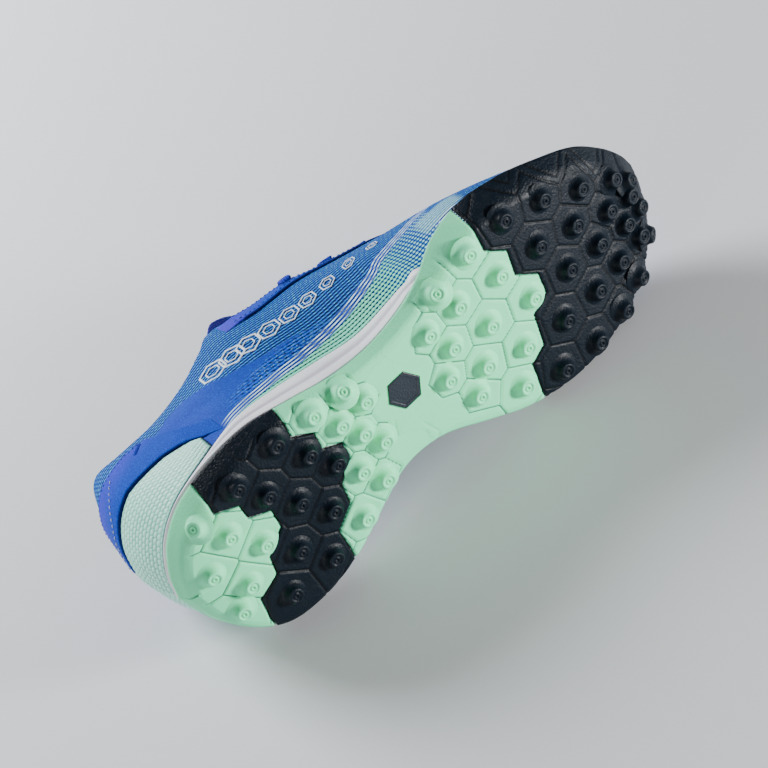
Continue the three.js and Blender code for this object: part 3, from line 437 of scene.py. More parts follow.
def lay(points):
    """Points of the shoe's frame in millimetres as places of the row in metres."""
    return CENTRE + (np.asarray(points, float) - INLAY_MIDDLE) @ AXES * MM


# Meshes

def piece(name, points, faces, material, slot, nodes=(), fields=None, smoothed=True):
    """A mesh piece from points of the shoe's frame, with point fields for its material."""
    mesh = bpy.data.meshes.new(name)
    points = lay(points)
    faces = np.asarray(faces)
    mesh.vertices.add(len(points))
    mesh.vertices.foreach_set("co", points.astype(np.float32).ravel())
    size = faces.shape[1]
    mesh.loops.add(faces.size)
    mesh.loops.foreach_set("vertex_index", faces.astype(np.int32).ravel())
    mesh.polygons.add(len(faces))
    mesh.polygons.foreach_set("loop_start", np.arange(0, faces.size, size, dtype=np.int32))
    mesh.polygons.foreach_set("loop_total", np.full(len(faces), size, dtype=np.int32))
    mesh.update(calc_edges=True)
    mesh.validate()
    for key, values in (fields or {}).items():
        attribute = mesh.attributes.new(key, "FLOAT", "POINT")
        attribute.data.foreach_set("value", np.asarray(values, np.float32).ravel())
    mesh.polygons.foreach_set("use_smooth", np.full(len(mesh.polygons), smoothed))
    mesh.materials.append(material)
    thing = bpy.data.objects.new(name, mesh)
    bpy.context.scene.collection.objects.link(thing)
    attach(thing, "root")
    if nodes:
        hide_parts(*nodes)
    return thing


def grid_faces(rows, columns, closed=False, flip=False, looped=False):
    """Quads of a grid of points stored row by row; closed joins the last column to the first, and looped
    the last row to the first."""
    j = np.arange(rows if looped else rows - 1)[:, None]
    i = np.arange(columns if closed else columns - 1)[None, :]
    m, n = (j + 1) % rows, (i + 1) % columns
    quads = np.stack([j * columns + i, j * columns + n, m * columns + n, m * columns + i], -1).reshape(-1, 4)
    return quads[:, ::-1] if flip else quads


def triangles(quads):
    return np.concatenate([quads[:, [0, 1, 2]], quads[:, [0, 2, 3]]])


def sheet_solid(outer, inner):
    """Closed solid between two grids of the same shape (rows, columns, 3)."""
    rows, columns = outer.shape[:2]
    size = rows * columns
    top = grid_faces(rows, columns)
    bottom = grid_faces(rows, columns, flip=True) + size
    grid = np.arange(size).reshape(rows, columns)
    ring = np.concatenate([grid[0, :-1], grid[:-1, -1], grid[-1, :0:-1], grid[:0:-1, 0]])
    after = np.roll(ring, -1)
    wall = np.stack([ring, ring + size, after + size, after], -1)
    return np.concatenate([outer.reshape(-1, 3), inner.reshape(-1, 3)]), np.concatenate([top, bottom, wall])


def join(parts):
    """Joins (points, faces) lists into one."""
    points, faces, start = [], [], 0
    for p, f in parts:
        points.append(p)
        faces.append(np.asarray(f) + start)
        start += len(p)
    return np.concatenate(points), np.concatenate(faces)


def keep_side(points, fields, faces, side):
    """Cuts a triangle mesh along side = 0 and keeps where side is above 0."""
    inside = side[faces] > 0
    count = inside.sum(1)
    kept = [faces[count == 3]]
    new_points, new_fields, made = [], {k: [] for k in fields}, {}

    def cut(a, b):
        key = (a, b) if a < b else (b, a)
        if key not in made:
            t = side[key[0]] / (side[key[0]] - side[key[1]])
            made[key] = len(points) + len(new_points)
            new_points.append(mix(points[key[0]], points[key[1]], t))
            for name, values in fields.items():
                new_fields[name].append(mix(values[key[0]], values[key[1]], t))
        return made[key]

    extra = []
    for face, mask in zip(faces[(count == 1) | (count == 2)], inside[(count == 1) | (count == 2)]):
        loop = []
        for k in range(3):
            a, b = int(face[k]), int(face[(k + 1) % 3])
            if mask[k]:
                loop.append(a)
            if mask[k] != mask[(k + 1) % 3]:
                loop.append(cut(a, b))
        extra += [[loop[0], loop[k], loop[k + 1]] for k in range(1, len(loop) - 1)]
    faces = np.concatenate(kept + ([np.array(extra)] if extra else []))
    if new_points:
        points = np.concatenate([points, new_points])
        fields = {k: np.concatenate([v, new_fields[k]]) for k, v in fields.items()}
    used, faces = np.unique(faces, return_inverse=True)
    return points[used], {k: v[used] for k, v in fields.items()}, faces.reshape(-1, 3)


# Materials

class Shader:
    """Short names for making a node material."""

    def __init__(self, name):
        self.material = bpy.data.materials.new(name)
        self.material.use_nodes = True
        self.tree = self.material.node_tree
        self.bsdf = self.tree.nodes["Principled BSDF"]
        self.relief = None

    def node(self, kind, **values):
        node = self.tree.nodes.new(kind)
        for key, value in values.items():
            setattr(node, key, value)
        return node

    def put(self, socket, value):
        if isinstance(value, bpy.types.NodeSocket):
            self.tree.links.new(value, socket)
        elif isinstance(value, (tuple, list)) and len(value) == 3 and socket.type == "RGBA":
            socket.default_value = (*value, 1)
        else:
            socket.default_value = value

    def math(self, operation, a, b=0.0, c=0.0):
        node = self.node("ShaderNodeMath", operation=operation)
        for socket, value in zip(node.inputs, (a, b, c)):
            self.put(socket, value)
        return node.outputs[0]

    def mul(self, a, b, *more):
        product = self.math("MULTIPLY", a, b)
        return self.mul(product, *more) if more else product

    def add(self, a, b):
        return self.math("ADD", a, b)

    def scaled(self, value, factor, offset):
        return self.math("MULTIPLY_ADD", value, factor, offset)

    def wave(self, value, period):
        return self.math("SINE", self.mul(value, 2 * math.pi / period))

    def field(self, name):
        return self.node("ShaderNodeAttribute", attribute_name=name).outputs["Fac"]

    def step(self, value, low, high, to_low=0.0, to_high=1.0):
        node = self.node("ShaderNodeMapRange", interpolation_type="SMOOTHSTEP")
        for socket, number in zip(node.inputs, (value, low, high, to_low, to_high)):
            self.put(socket, number)
        return node.outputs[0]

    def colour(self, factor, a, b):
        node = self.node("ShaderNodeMix", data_type="RGBA")
        self.put(node.inputs["Factor"], factor)
        self.put(node.inputs[6], a)
        self.put(node.inputs[7], b)
        return node.outputs[2]

    def texture(self, kind, **values):
        node = self.node(kind)
        self.put(node.inputs["Vector"], self.node("ShaderNodeTexCoord").outputs["Object"])
        for name, value in values.items():
            node.inputs[name].default_value = value
        return node.outputs[0]

    def noise(self, scale, detail=2.0, rough=0.5):
        return self.texture("ShaderNodeTexNoise", Scale=scale, Detail=detail, Roughness=rough)

    def leather(self):
        return self.texture("ShaderNodeTexVoronoi", Scale=LEATHER_GRAIN)

    def bump(self, height, distance, strength=1.0):
        node = self.node("ShaderNodeBump")
        node.inputs["Strength"].default_value = strength
        node.inputs["Distance"].default_value = distance
        self.put(node.inputs["Height"], height)
        if self.relief is not None:
            self.put(node.inputs["Normal"], self.relief)
        self.relief = node.outputs[0]

    def finish(self, colour, roughness, **sockets):
        self.put(self.bsdf.inputs["Base Color"], colour)
        self.put(self.bsdf.inputs["Roughness"], roughness)
        for name, value in sockets.items():
            self.put(self.bsdf.inputs[name.replace("_", " ")], value)
        if self.relief is not None:
            self.put(self.bsdf.inputs["Normal"], self.relief)
        return self.material


def srgb(r, g, b):
    return tuple((c / 255 / 12.92) if c <= 10 else ((c / 255 + 0.055) / 1.055) ** 2.4 for c in (r, g, b))


# Colours
MINT = srgb(122, 242, 182)
# painted shade in the mint tread's grooves
MINT_GROOVE_SHADE = srgb(44, 128, 96)
DARK = srgb(5, 17, 28)
# painted shade in the dark tread's grooves
DARK_GROOVE_SHADE = srgb(1, 2, 4)
DARK_PALE = srgb(30, 40, 52)
WHITE = srgb(250, 248, 252)
WHITE_SHADE = srgb(222, 216, 228)
# painted shade in the midsole strip's groove
WHITE_GROOVE_SHADE = srgb(186, 178, 196)
AQUA = srgb(122, 232, 196)
AQUA_PALE = srgb(160, 225, 235)
TEAL = srgb(4, 60, 92)
DOT_BLUE = srgb(12, 84, 170)
PALE = srgb(206, 242, 252)
STRIPE_BLUE = srgb(18, 62, 176)
# painted shade in the knit's rib troughs
KNIT_TROUGH_SHADE = srgb(0, 12, 66)
KNIT_BLUE = srgb(0, 92, 214)
# cyan of the yarn's speckles, laid as a painted highlight on the knit's rib crests
KNIT_LIT = srgb(84, 202, 250)
SUEDE = srgb(0, 50, 162)
SUEDE_VIOLET = srgb(22, 46, 168)
SUEDE_LIT = srgb(10, 104, 224)
MESH = srgb(0, 82, 200)
MESH_DEEP = srgb(0, 16, 80)
MESH_LIT = srgb(110, 195, 235)
PATCH = srgb(178, 226, 228)
# painted shade in the pale knit patch's rib troughs
PATCH_TROUGH_SHADE = srgb(90, 165, 200)
LINING = srgb(12, 34, 104)
LINING_LIT = srgb(26, 58, 140)
# painted shade between the counter's bumps
COUNTER_BUMP_SHADE = srgb(104, 206, 176)
# painted highlight on the counter's bump tops
COUNTER_LIT = srgb(196, 255, 236)
# painted shade along the counter's edge
COUNTER_EDGE_SHADE = srgb(2, 26, 66)
# painted shade along the edges of the cloth plates
CLOTH_EDGE_SHADE = srgb(4, 16, 70)

# Grains per metre
MOULD_GRAIN = 2300.0
LEATHER_GRAIN = 900.0
NAP_GRAIN = 1500.0

# Periods of the cloth's patterns, millimetres
KNIT_PITCH = 2.25
MESH_PITCH = 3.0
DOT_PITCH = 4.4
LINE_PITCH = 2.2
WOVEN_PITCH = 1.3


def rubber(name, light, dark, grain):
    """Moulded rubber: even colour, with painted shade in the grooves, and moulding grain and leather grain.
    """
    s = Shader(name)
    groove, rim = s.field("groove"), s.field("rim")
    colour = s.colour(s.mul(s.noise(55.0, 3.0), 0.35), light, tuple(c * 0.88 for c in light))
    # painted shade: the colour turns to the groove shade colour along the grooves
    colour = s.colour(s.step(groove, 0.10, 0.52, 1.0, 0.0), colour, dark)
    s.bump(s.noise(MOULD_GRAIN, 3.0, 0.6), 0.00010, 0.45 + 0.45 * grain)
    pebbles = s.math("SQRT", s.leather())
    s.bump(s.mul(pebbles, s.scaled(rim, 0.4, 0.6 * grain)), 0.00040, 0.35 + 0.6 * grain)
    rough = s.step(s.noise(300.0, 3.0), 0.3, 0.7, 0.44, 0.58)
    return s.finish(colour, rough, Specular_IOR_Level=0.18, Coat_Weight=0.03, Coat_Roughness=0.3)


def knit_waves(s, run, rise, pitch):
    """Ribs along the shoe and slanted stitches across them."""
    slant = s.add(run, s.mul(rise, 0.6))
    return s.wave(rise, pitch), s.wave(slant, 1.15 * pitch)


class UpperShader(Shader):
    """The upper's cloth, from fields of the shell: run round the foot and rise up the wall, x along the
    shoe, line above the pale lines, suede above the edge of the suede, and low above the sole."""

    def __init__(self):
        super().__init__("upper_cloth")
        for key in ("run", "rise", "x", "line", "suede", "low", "inside"):
            setattr(self, key, self.field(key))
        self.rib, stitch = knit_waves(self, self.run, self.rise, KNIT_PITCH)
        self.weave = self.scaled(stitch, 0.34, self.rib)
        # speckle mask: the yarn's cyan speckles, which also gate the painted highlight on the knit's rib
        # crests and the mesh's pale speckles
        self.flecks_and_glints = self.step(self.noise(900.0, 1.0), 0.50, 0.66)
        self.nap = self.noise(NAP_GRAIN, 4.0, 0.65)

    def beyond(self, start, end, low=0.0, high=1.0):
        """Rises from start to end, shares of the length."""
        return self.step(self.x, start * LENGTH, end * LENGTH, low, high)

    def before(self, start, end):
        return self.beyond(start, end, 1.0, 0.0)

    def knit(self):
        """Royal blue ribs, with painted shade in the rib troughs and a painted cyan highlight on the rib
        crests, broken up by speckle noise.
        """
        # painted highlight on the rib crests, broken up by the speckle mask
        lit = self.mul(self.step(self.weave, 0.25, 1.15), self.scaled(self.flecks_and_glints, 0.6, 0.4))
        # painted shade in the rib troughs
        colour = self.colour(self.step(self.weave, -1.1, 1.1), KNIT_TROUGH_SHADE, KNIT_BLUE)
        return self.colour(self.mul(lit, 0.95), colour, KNIT_LIT)

    def napped(self):
        """Royal blue suede, turning violet towards the heel."""
        cloud = self.step(self.noise(38.0, 3.0), 0.25, 0.75, 0.55, 1.0)
        colour = self.colour(self.mul(self.before(0.10, 0.27), cloud), SUEDE, SUEDE_VIOLET)
        return self.colour(self.step(self.nap, 0.42, 0.80, 0.0, 0.9), colour, SUEDE_LIT)

    def dashes(self):
        """Mesh between the suede and the pale lines, with dark dashes."""
        rib, stitch = knit_waves(self, self.run, self.rise, MESH_PITCH)
        dash = self.mul(self.step(rib, -0.4, 0.3), self.step(stitch, -0.3, 0.3))
        colour = self.colour(dash, MESH, MESH_DEEP)
        return self.colour(self.mul(self.step(self.rib, 0.5, -0.4), self.flecks_and_glints, 0.7), colour, MESH_LIT)

    def dotted(self):
        """Mint field under the lines, its small dots growing into diamonds; also where the dots are."""
        a = self.wave(self.add(self.run, self.rise), DOT_PITCH)
        b = self.wave(self.math("SUBTRACT", self.run, self.rise), DOT_PITCH)
        grow = self.beyond(0.46, 0.66, 0.62, -0.25)
        dots = self.step(self.math("SUBTRACT", self.mul(a, b), grow), -0.12, 0.12)
        ground = self.colour(self.beyond(0.56, 0.68), AQUA, AQUA_PALE)
        return self.colour(dots, ground, self.colour(self.beyond(0.50, 0.60), TEAL, DOT_BLUE)), dots

    def side_lines(self, body):
        """Three pale lines on a blue stripe."""
        stripe = self.mul(self.step(self.math("ABSOLUTE", self.line), 3.6, 3.2), self.beyond(0.225, 0.25))
        stripe = self.mul(stripe, self.before(0.70, 0.73))
        thin = self.wave(self.add(self.line, LINE_PITCH / 4), LINE_PITCH)
        body = self.colour(stripe, body, STRIPE_BLUE)
        return self.colour(self.mul(stripe, self.step(thin, 0.1, 0.6)), body, PALE)

    def toe_side(self, body):
        """A patch of pale knit with painted shade in its rib troughs, and pale bars along the band."""
        inner, outer = self.beyond(0.68, 0.80, 12.0, 5.5), self.beyond(0.68, 0.80, 11.0, 4.5)
        bars = self.step(self.wave(self.low, LINE_PITCH), 0.0, 0.5)
        bars = self.mul(bars, self.step(self.low, inner, outer))
        patch = self.mul(self.beyond(0.655, 0.67), self.before(0.735, 0.75))
        patch = self.mul(patch, self.mul(self.step(self.low, 9.0, 10.5), self.step(self.low, 26.0, 22.0)))
        # painted shade in the pale patch's rib troughs
        pale_knit = self.colour(self.step(self.weave, -1.0, 0.8), PATCH_TROUGH_SHADE, PATCH)
        body = self.colour(self.mul(patch, 0.75), body, pale_knit)
        return self.colour(self.mul(self.beyond(0.665, 0.70), bars), body, PALE)


def upper_material():
    s = UpperShader()
    forward = s.beyond(0.235, 0.32)
    near_line = s.step(s.line, 0.17 * HEIGHT, 0.09 * HEIGHT)
    mesh = s.mul(forward, s.mul(near_line, s.step(s.nap, 0.35, 0.55, 0.8, 1.0)))
    in_knit = s.math("MAXIMUM", s.step(s.suede, -0.6, 0.6), s.beyond(0.40, 0.50))
    body = s.colour(in_knit, s.colour(mesh, s.napped(), s.dashes()), s.knit())
    dotted, dots = s.dotted()
    under = s.mul(s.step(s.line, -1.9, -2.6), s.beyond(0.235, 0.255), s.before(0.69, 0.70))
    body = s.toe_side(s.side_lines(s.colour(under, body, dotted)))
    body = s.colour(s.inside, body, s.colour(s.nap, LINING, LINING_LIT))
    coarse = s.math("MAXIMUM", in_knit, s.mul(forward, near_line))
    s.bump(s.mul(s.weave, coarse), 0.00035, 0.8)
    s.bump(s.nap, 0.0002, 0.5)
    s.bump(s.mul(dots, under), -0.0002, 0.5)
    return s.finish(body, 0.7, Specular_IOR_Level=0.14)


def counter_material():
    """Moulded bumps, with painted shade between them and a painted highlight on their tops, and painted
    shade along the edge.
    """
    s = Shader("counter_moulded")
    rough = s.noise(1300.0, 3.0)
    # painted shade between the bumps and painted highlight on their tops, following their height
    colour = s.colour(s.step(s.scaled(rough, 0.5, s.field("relief")), 0.35, 1.2), COUNTER_BUMP_SHADE, COUNTER_LIT)
    # painted shade along the counter's edge
    colour = s.colour(s.step(s.field("edge"), 1.8, 0.5), colour, COUNTER_EDGE_SHADE)
    s.bump(rough, 0.00025, 0.6)
    return s.finish(colour, 0.42, Specular_IOR_Level=0.5)


def suede_material(name, first, second, knitted=False, turn=None):
    """Napped cloth in two clouds of colour; turn names the field that leads from one to the other."""
    s = Shader(name)
    nap = s.noise(NAP_GRAIN, 4.0, 0.65)
    cloud = s.noise(42.0, 3.0)
    share = s.step(cloud, 0.3, 0.7)
    if turn:
        share = s.mul(s.field(turn), s.step(cloud, 0.25, 0.65, 0.45, 1.0))
    lit = s.colour(share, SUEDE_LIT, tuple(min(1, 1.9 * c + 0.03) for c in second))
    colour = s.colour(s.step(nap, 0.42, 0.80, 0.0, 0.9), s.colour(share, first, second), lit)
    s.bump(nap, 0.0002, 0.5)
    if knitted:
        rib, stitch = knit_waves(s, s.field("run"), s.field("rise"), WOVEN_PITCH)
        weave = s.scaled(stitch, 0.45, rib)
        # painted shade in the weave's troughs
        colour = s.colour(s.step(weave, -1.0, 1.0, 0.5, 0.0), colour, tuple(c * 0.35 for c in first))
        s.bump(weave, 0.0002, 0.5)
    # painted shade along the plate's edges
    colour = s.colour(s.mul(s.step(s.field("edge"), 1.1, 0.2), 0.7), colour, CLOTH_EDGE_SHADE)
    return s.finish(colour, 0.8, Sheen_Weight=0.04, Sheen_Roughness=0.45, Specular_IOR_Level=0.14)


def foam_material():
    """White foam with painted shade in the soft groove along the strip's side; where the groove field marks
    2, the colour of the lining that covers it inside the upper.
    """
    s = Shader("midsole_foam")
    groove = s.field("groove")
    colour = s.colour(s.mul(s.noise(60.0, 3.0), 0.4), WHITE, WHITE_SHADE)
    # painted shade in the groove along the strip's side
    colour = s.colour(s.mul(groove, 0.8), colour, WHITE_GROOVE_SHADE)
    colour = s.colour(s.step(groove, 1.1, 1.5), colour, LINING)
    s.bump(s.noise(2200.0, 2.0), 0.0001, 0.4)
    return s.finish(colour, 0.55, Subsurface_Weight=0.05, Specular_IOR_Level=0.35)


def plain_cloth(name, first, second, scale=1400.0):
    s = Shader(name)
    nap = s.noise(scale, 3.0, 0.6)
    colour = s.colour(s.step(nap, 0.3, 0.7), srgb(*first), srgb(*second))
    s.bump(nap, 0.0002, 0.5)
    return s.finish(colour, 0.85, Sheen_Weight=0.04, Specular_IOR_Level=0.2)


# Outsole

def stud_places():
    places = []
    for x0, y0, x1, y1, count, ease in STUD_ROWS:
        for i in range(count):
            t = (i / (count - 1)) ** ease if count > 1 else 0
            places.append((mix(x0, x1, t) * LENGTH, mix(y0, y1, t) * WIDTH))
    return np.array(places)


STUDS = stud_places()
RIM = Section(np.linspace(0, 2, 600, endpoint=False))


def ghost_cells():
    """Cells past the ends of the rows of studs, which close the outer hexagons."""
    ghosts = []
    for x0, y0, x1, y1, count, ease in STUD_ROWS[2:]:
        if count < 3:
            continue
        t = [(i / (count - 1)) ** ease for i in range(count)]
        first = -(t[1] - t[0])
        last = 1 + (t[-1] - t[-2])
        ghosts += [(mix(x0, x1, q) * LENGTH, mix(y0, y1, q) * WIDTH) for q in (first, last)]
    return np.array(ghosts)


CELLS = np.concatenate([STUDS, ghost_cells(), np.array(WAIST_SEEDS) * (LENGTH, WIDTH)])
REAL = len(STUDS)


def cell_field(x, y):
    """Distance to the nearest border of a stud's cell, the number of the cell, and 1 outside the cells."""
    edge, which = np.empty(len(x)), np.empty(len(x), int)
    for start in range(0, len(x), 20000):
        part = slice(start, start + 20000)
        d = (x[part, None] - CELLS[None, :, 0]) ** 2 + (y[part, None] - CELLS[None, :, 1]) ** 2
        order = np.argpartition(d, 6, axis=1)[:, :7]
        near = np.take_along_axis(d, order, 1)
        rank = np.argsort(near, axis=1)
        order, near = np.take_along_axis(order, rank, 1), np.take_along_axis(near, rank, 1)
        apart = np.linalg.norm(CELLS[order[:, 1:]] - CELLS[order[:, :1]], axis=-1)
        border = (near[:, 1:] - near[:, :1]) / (2 * apart)
        both_ghosts = (order[:, :1] >= REAL) & (order[:, 1:] >= REAL)
        border = np.where(both_ghosts, FAR, border)
        edge[part], which[part] = border.min(1), order[:, 0]
    return edge, which


def faint_lines(x, y):
    """Distance to the nearest faint edge of the waist."""
    out = np.full(len(x), FAR)
    for x0, y0, x1, y1 in WAIST_EDGES:
        a, b = (x0 * LENGTH, y0 * WIDTH), (x1 * LENGTH, y1 * WIDTH)
        out = np.minimum(out, to_segment(x, y, a, b)[1])
    return out


def inlay_field(x, y):
    """Distance outside the hexagonal recess of the waist."""
    dx, dy = x - INLAY_AT[0], y - INLAY_AT[1]
    turns = np.arange(6) * math.pi / 3 + math.pi / 6
    reach = np.max([dx * math.cos(a) + dy * math.sin(a) for a in turns], axis=0)
    return reach - (INLAY + GAP) * math.cos(math.pi / 6)


def border_field(border, x, y):
    """Signed distance to a colour border, above 0 towards the toe."""
    line = np.array(border) * (LENGTH, WIDTH)
    at = np.interp(y, line[:, 1], line[:, 0])
    slope = (np.interp(y + 0.5, line[:, 1], line[:, 0]) - np.interp(y - 0.5, line[:, 1], line[:, 0]))
    return (x - at) / np.hypot(1, slope)


# The turned-up edge from the underside to inside the lip: inset as a share of the flare and millimetres,
# height as a share of the band and millimetres
RIM_PROFILE = ((1, 3.2, 0, 0), (1, 0.9, 0, 0.8), (0.72, 0, 0.26, 0), (0.33, 0, 0.58, 0), (0, 0.25, 1, -1.6),
    (0, 0.15, 1, -0.5), (0, 0.9, 1, 0), (0, 1.8, 1, -0.6))


def rim_point(s, t):
    """Inset and height of the turned-up edge at t, 0 on the underside and 7 inside the lip."""
    stops = np.array([[a * s.flare + b, c * s.band + d] for a, b, c, d in RIM_PROFILE])
    k = min(int(t), len(stops) - 2)
    p1, p2 = stops[k], stops[k + 1]
    p0 = stops[k - 1] if k > 0 else 2 * p1 - p2
    p3 = stops[k + 2] if k + 2 < len(stops) else 2 * p2 - p1
    return catmull(p0, p1, p2, p3, t - k)


def underside(x, y):
    """Height of the underside at plan points, with the turned-up edge."""
    x, y = np.atleast_1d(x), np.atleast_1d(y)
    d = np.hypot(RIM.x[None] - x[:, None], RIM.y[None] - y[:, None])
    k = d.argmin(1)
    inset = d[np.arange(len(k)), k]
    flare, band = RIM.flare[k], RIM.band[k]
    level = np.zeros_like(band)
    stops = ((flare + 3.2, level), (flare + 0.9, level + 0.8), (flare * 0.72, 0.26 * band), (level, band))
    lift = np.zeros_like(inset)
    for (d0, h0), (d1, h1) in zip(stops, stops[1:]):
        t = (d0 - inset) / (d0 - d1)
        lift = np.where((t >= 0) & (t <= 1), mix(h0, h1, t), lift)
    return base(x) + lift


def sole_surface():
    """Underside and side band as one grid from the lateral lip across to the medial one."""
    count, across = SOLE_GRID
    p = np.linspace(0, 1, count + 1)
    length = travelled(np.stack(outline(p), -1))
    p = np.interp(np.linspace(0, length[-1], count + 1), length, p)
    rim_steps = np.concatenate([np.linspace(7, 4, 9), np.linspace(3.8, 0, 20)])
    columns = []
    for side in (p, 2 - p):
        s = Section(side)
        edge = []
        for t in rim_steps:
            inset, height = rim_point(s, t)
            edge.append(np.concatenate([s.inward(inset, height), np.full((len(inset), 1), t)], -1))
        columns.append(edge)
    lateral, medial = columns
    inner_a, inner_b = lateral[-1][:, :3], medial[-1][:, :3]
    rows = list(lateral)
    for t in np.linspace(0, 1, across + 2)[1:-1]:
        q = mix(inner_a, inner_b, t)
        q[:, 2] = base(q[:, 0])
        rows.append(np.concatenate([q, np.zeros((len(q), 1))], -1))
    rows += medial[::-1]
    return np.stack(rows)


BORDERS = {"toe": TOE_BORDER, "front": HEEL_FRONT, "rear": HEEL_REAR}


def outsole():
    grid = sole_surface()
    rows, columns = grid.shape[:2]
    points = grid.reshape(-1, 4)
    rim = points[:, 3].copy()
    points = points[:, :3].copy()
    faces = triangles(grid_faces(rows, columns))
    x, y = points[:, 0], points[:, 1]
    edge, cell = cell_field(x, y)
    toe, front, rear = [border_field(b, x, y) for b in BORDERS.values()]
    colour_edge = np.minimum(np.minimum(np.abs(toe), np.abs(front)), np.abs(rear))
    # grooves fade before the rim of the mint fields
    inner = np.where(rear < 0, smooth(1.6, 0.0, rim), smooth(3.4, 2.0, rim))
    fade = np.where((rear < 0) | ((toe < 0) & (front > 0)), inner, smooth(5.0, 3.6, rim))
    fade = np.where((front < 0) & (rear > 0), smooth(2.6, 1.2, rim), fade)
    ridge = np.where((cell >= REAL) & ((toe > 0) | ((front < 0) & (rear > 0))), np.abs(edge - 3.4), CLEAR)
    faint = faint_lines(x, y)
    groove = np.where(fade > 0.02, np.minimum(edge, ridge) / np.maximum(fade, 0.02), CLEAR)
    rng = np.random.default_rng(7)
    tilt = rng.uniform(-1, 1, (len(CELLS), 2))
    step = np.where(np.arange(len(CELLS)) < REAL, rng.uniform(-0.22, 0.12, len(CELLS)), 0.3)
    from_seed = np.stack([x, y], -1) - CELLS[cell]
    lift = step[cell] + CELL_TILT * (tilt[cell] * from_seed).sum(-1)
    relief = lift * smooth(0.0, 0.8, edge) * smooth(1.2, 0.0, rim)
    relief = relief + (notch(edge, 0.60, 0.50) + notch(ridge, 0.45, 0.55)) * fade
    relief = relief + notch(faint, 0.35, 0.45) + notch(colour_edge, 1.2, 0.50)
    lip = smooth(5.2, 4.4, rim)
    centre = np.array([0.5 * LENGTH, 0, 0.5 * HEIGHT])
    # inward normal of the shell by the grid's own neighbours
    g = points.reshape(rows, columns, 3)
    n = np.cross(np.gradient(g, axis=0), np.gradient(g, axis=1)).reshape(-1, 3)
    n /= np.linalg.norm(n, axis=1, keepdims=True) + 1e-9
    n *= np.sign((n * (centre - points)).sum(1))[:, None]
    points = points + n * (relief * lip)[:, None]
    on_band = smooth(0.6, 2.2, rim) * smooth(6.6, 5.4, rim)
    # the groove field also carries painted shade into the rubber's colour along the grooves and colour
    # borders
    fields = {"groove": np.minimum(groove, colour_edge * 0.8), "rim": on_band, "toe": toe, "front": front,
        "rear": rear, "inlay": inlay_field(x, y)}
    half = GAP / 2
    mint = rubber("rubber_mint", MINT, MINT_GROOVE_SHADE, 0.3)
    dark = rubber("rubber_dark", DARK, DARK_GROOVE_SHADE, 1.0)
    looks = {
        "outsole_toe": (dark, "outsole_dark", lambda f: f["toe"] - half),
        "outsole_heel": (dark, "outsole_dark", lambda f: np.minimum(-f["front"] - half, f["rear"] - half)),
        "outsole_rear": (mint, "outsole_mint", lambda f: -f["rear"] - half),
        "outsole_middle": (mint, "outsole_mint",
            lambda f: np.minimum(np.minimum(-f["toe"], f["front"]) - half, f["inlay"]))}
    studs = [stud(*place) for place in STUDS]
    for name, (material, slot, side) in looks.items():
        part, part_fields, part_faces = keep_side(points, fields, faces, side(fields))
        mine = []
        for place, solid in zip(STUDS, studs):
            at = {k: border_field(b, place[:1], place[1:])[0] for k, b in BORDERS.items()}
            at["inlay"] = CLEAR
            if side(at) > 0:
                mine.append(solid)
        if name == "outsole_middle":
            mine.append(recess())
        count = sum(len(stud_points) for stud_points, _ in mine)
        grooves = np.concatenate([part_fields["groove"], np.full(count, CLEAR)])
        rims = np.concatenate([part_fields["rim"], np.zeros(count)])
        piece(name.replace("outsole", "tread"), *join([(part, part_faces[:, ::-1]), *mine]), material, slot,
            (name,), {"groove": grooves, "rim": rims})


STUD_PROFILE = ((0.0, -0.80), (0.42, -0.76), (0.60, -0.55), (0.74, -0.20), (0.95, -0.06), (1.20, -0.06),
    (1.42, -0.26), (1.62, -0.50), (1.90, -0.58), (2.15, -0.50), (2.40, -0.22), (2.65, -0.04), (2.92, 0.0),
    (3.20, -0.03), (3.50, -0.18), (3.75, -0.50), (3.95, -1.0), (4.20, -1.8), (4.55, -2.65), (5.00, -3.40),
    (5.65, -4.02), (6.40, -4.42), (7.10, -4.72), (7.80, -5.15))


def stud(x, y, sides=40):
    """A turned stud with a ring and a pin hole in its tip; heights are below the tip."""
    d = STUD_TIP
    slope = [float((underside(x + d, y) - underside(x - d, y))[0]) / (2 * d),
        float((underside(x, y + d) - underside(x, y - d))[0]) / (2 * d)]
    axis = np.array([0.8 * slope[0], 0.8 * slope[1], -1.0])
    axis /= np.linalg.norm(axis)
    foot = np.array([x, y]) - axis[:2] * 0.9 * STUD
    foot = np.array([*foot, float(underside(*foot)[0])])
    across = np.cross(axis, (1, 0, 0))
    across /= np.linalg.norm(across)
    other = np.cross(axis, across)
    angle = np.linspace(0, 2 * math.pi, sides, endpoint=False)
    ring = np.cos(angle)[:, None] * across + np.sin(angle)[:, None] * other
    rows = [foot + axis * (STUD + h) + ring * r for r, h in STUD_PROFILE]
    points = np.concatenate(rows)
    faces = triangles(grid_faces(len(rows), sides, closed=True))
    return points, faces[:, ::-1]


def hexagon_rows(steps):
    """Rings round the waist's hexagon as (growth, height) pairs, 8 points a side."""
    rings = [hexagon(INLAY + grow, 8) + INLAY_AT for grow, _ in steps]
    rows = [np.column_stack([ring, np.full(48, STUD + z)]) for ring, (_, z) in zip(rings, steps)]
    return np.concatenate(rows), grid_faces(len(rows), 48, closed=True)


def recess():
    """Walls and floor of the recess that holds the waist's hexagon."""
    floor = INLAY_DEPTH + GAP
    points, faces = hexagon_rows(((GAP, 0.0), (GAP, floor), (GAP - 6.0, floor)))
    return points, triangles(faces)


def inlay():
    """The plain hexagon of the waist with a rounded edge."""
    points, faces = hexagon_rows(((0.0, INLAY_DEPTH), (0.0, 0.35), (-0.12, 0.12), (-0.4, 0.0), (-1.6, 0.0),
        (-1.9, 0.22), (-9.1, 0.22)))
    s = Shader("inlay_rubber")
    s.bump(s.leather(), 0.0002, 0.6)
    material = s.finish(s.colour(s.noise(60.0), DARK, DARK_PALE), 0.45)
    piece("inlay_plate", points, faces, material, "outsole_dark", ("arch_inlay",), smoothed=False)


# Midsole and insole

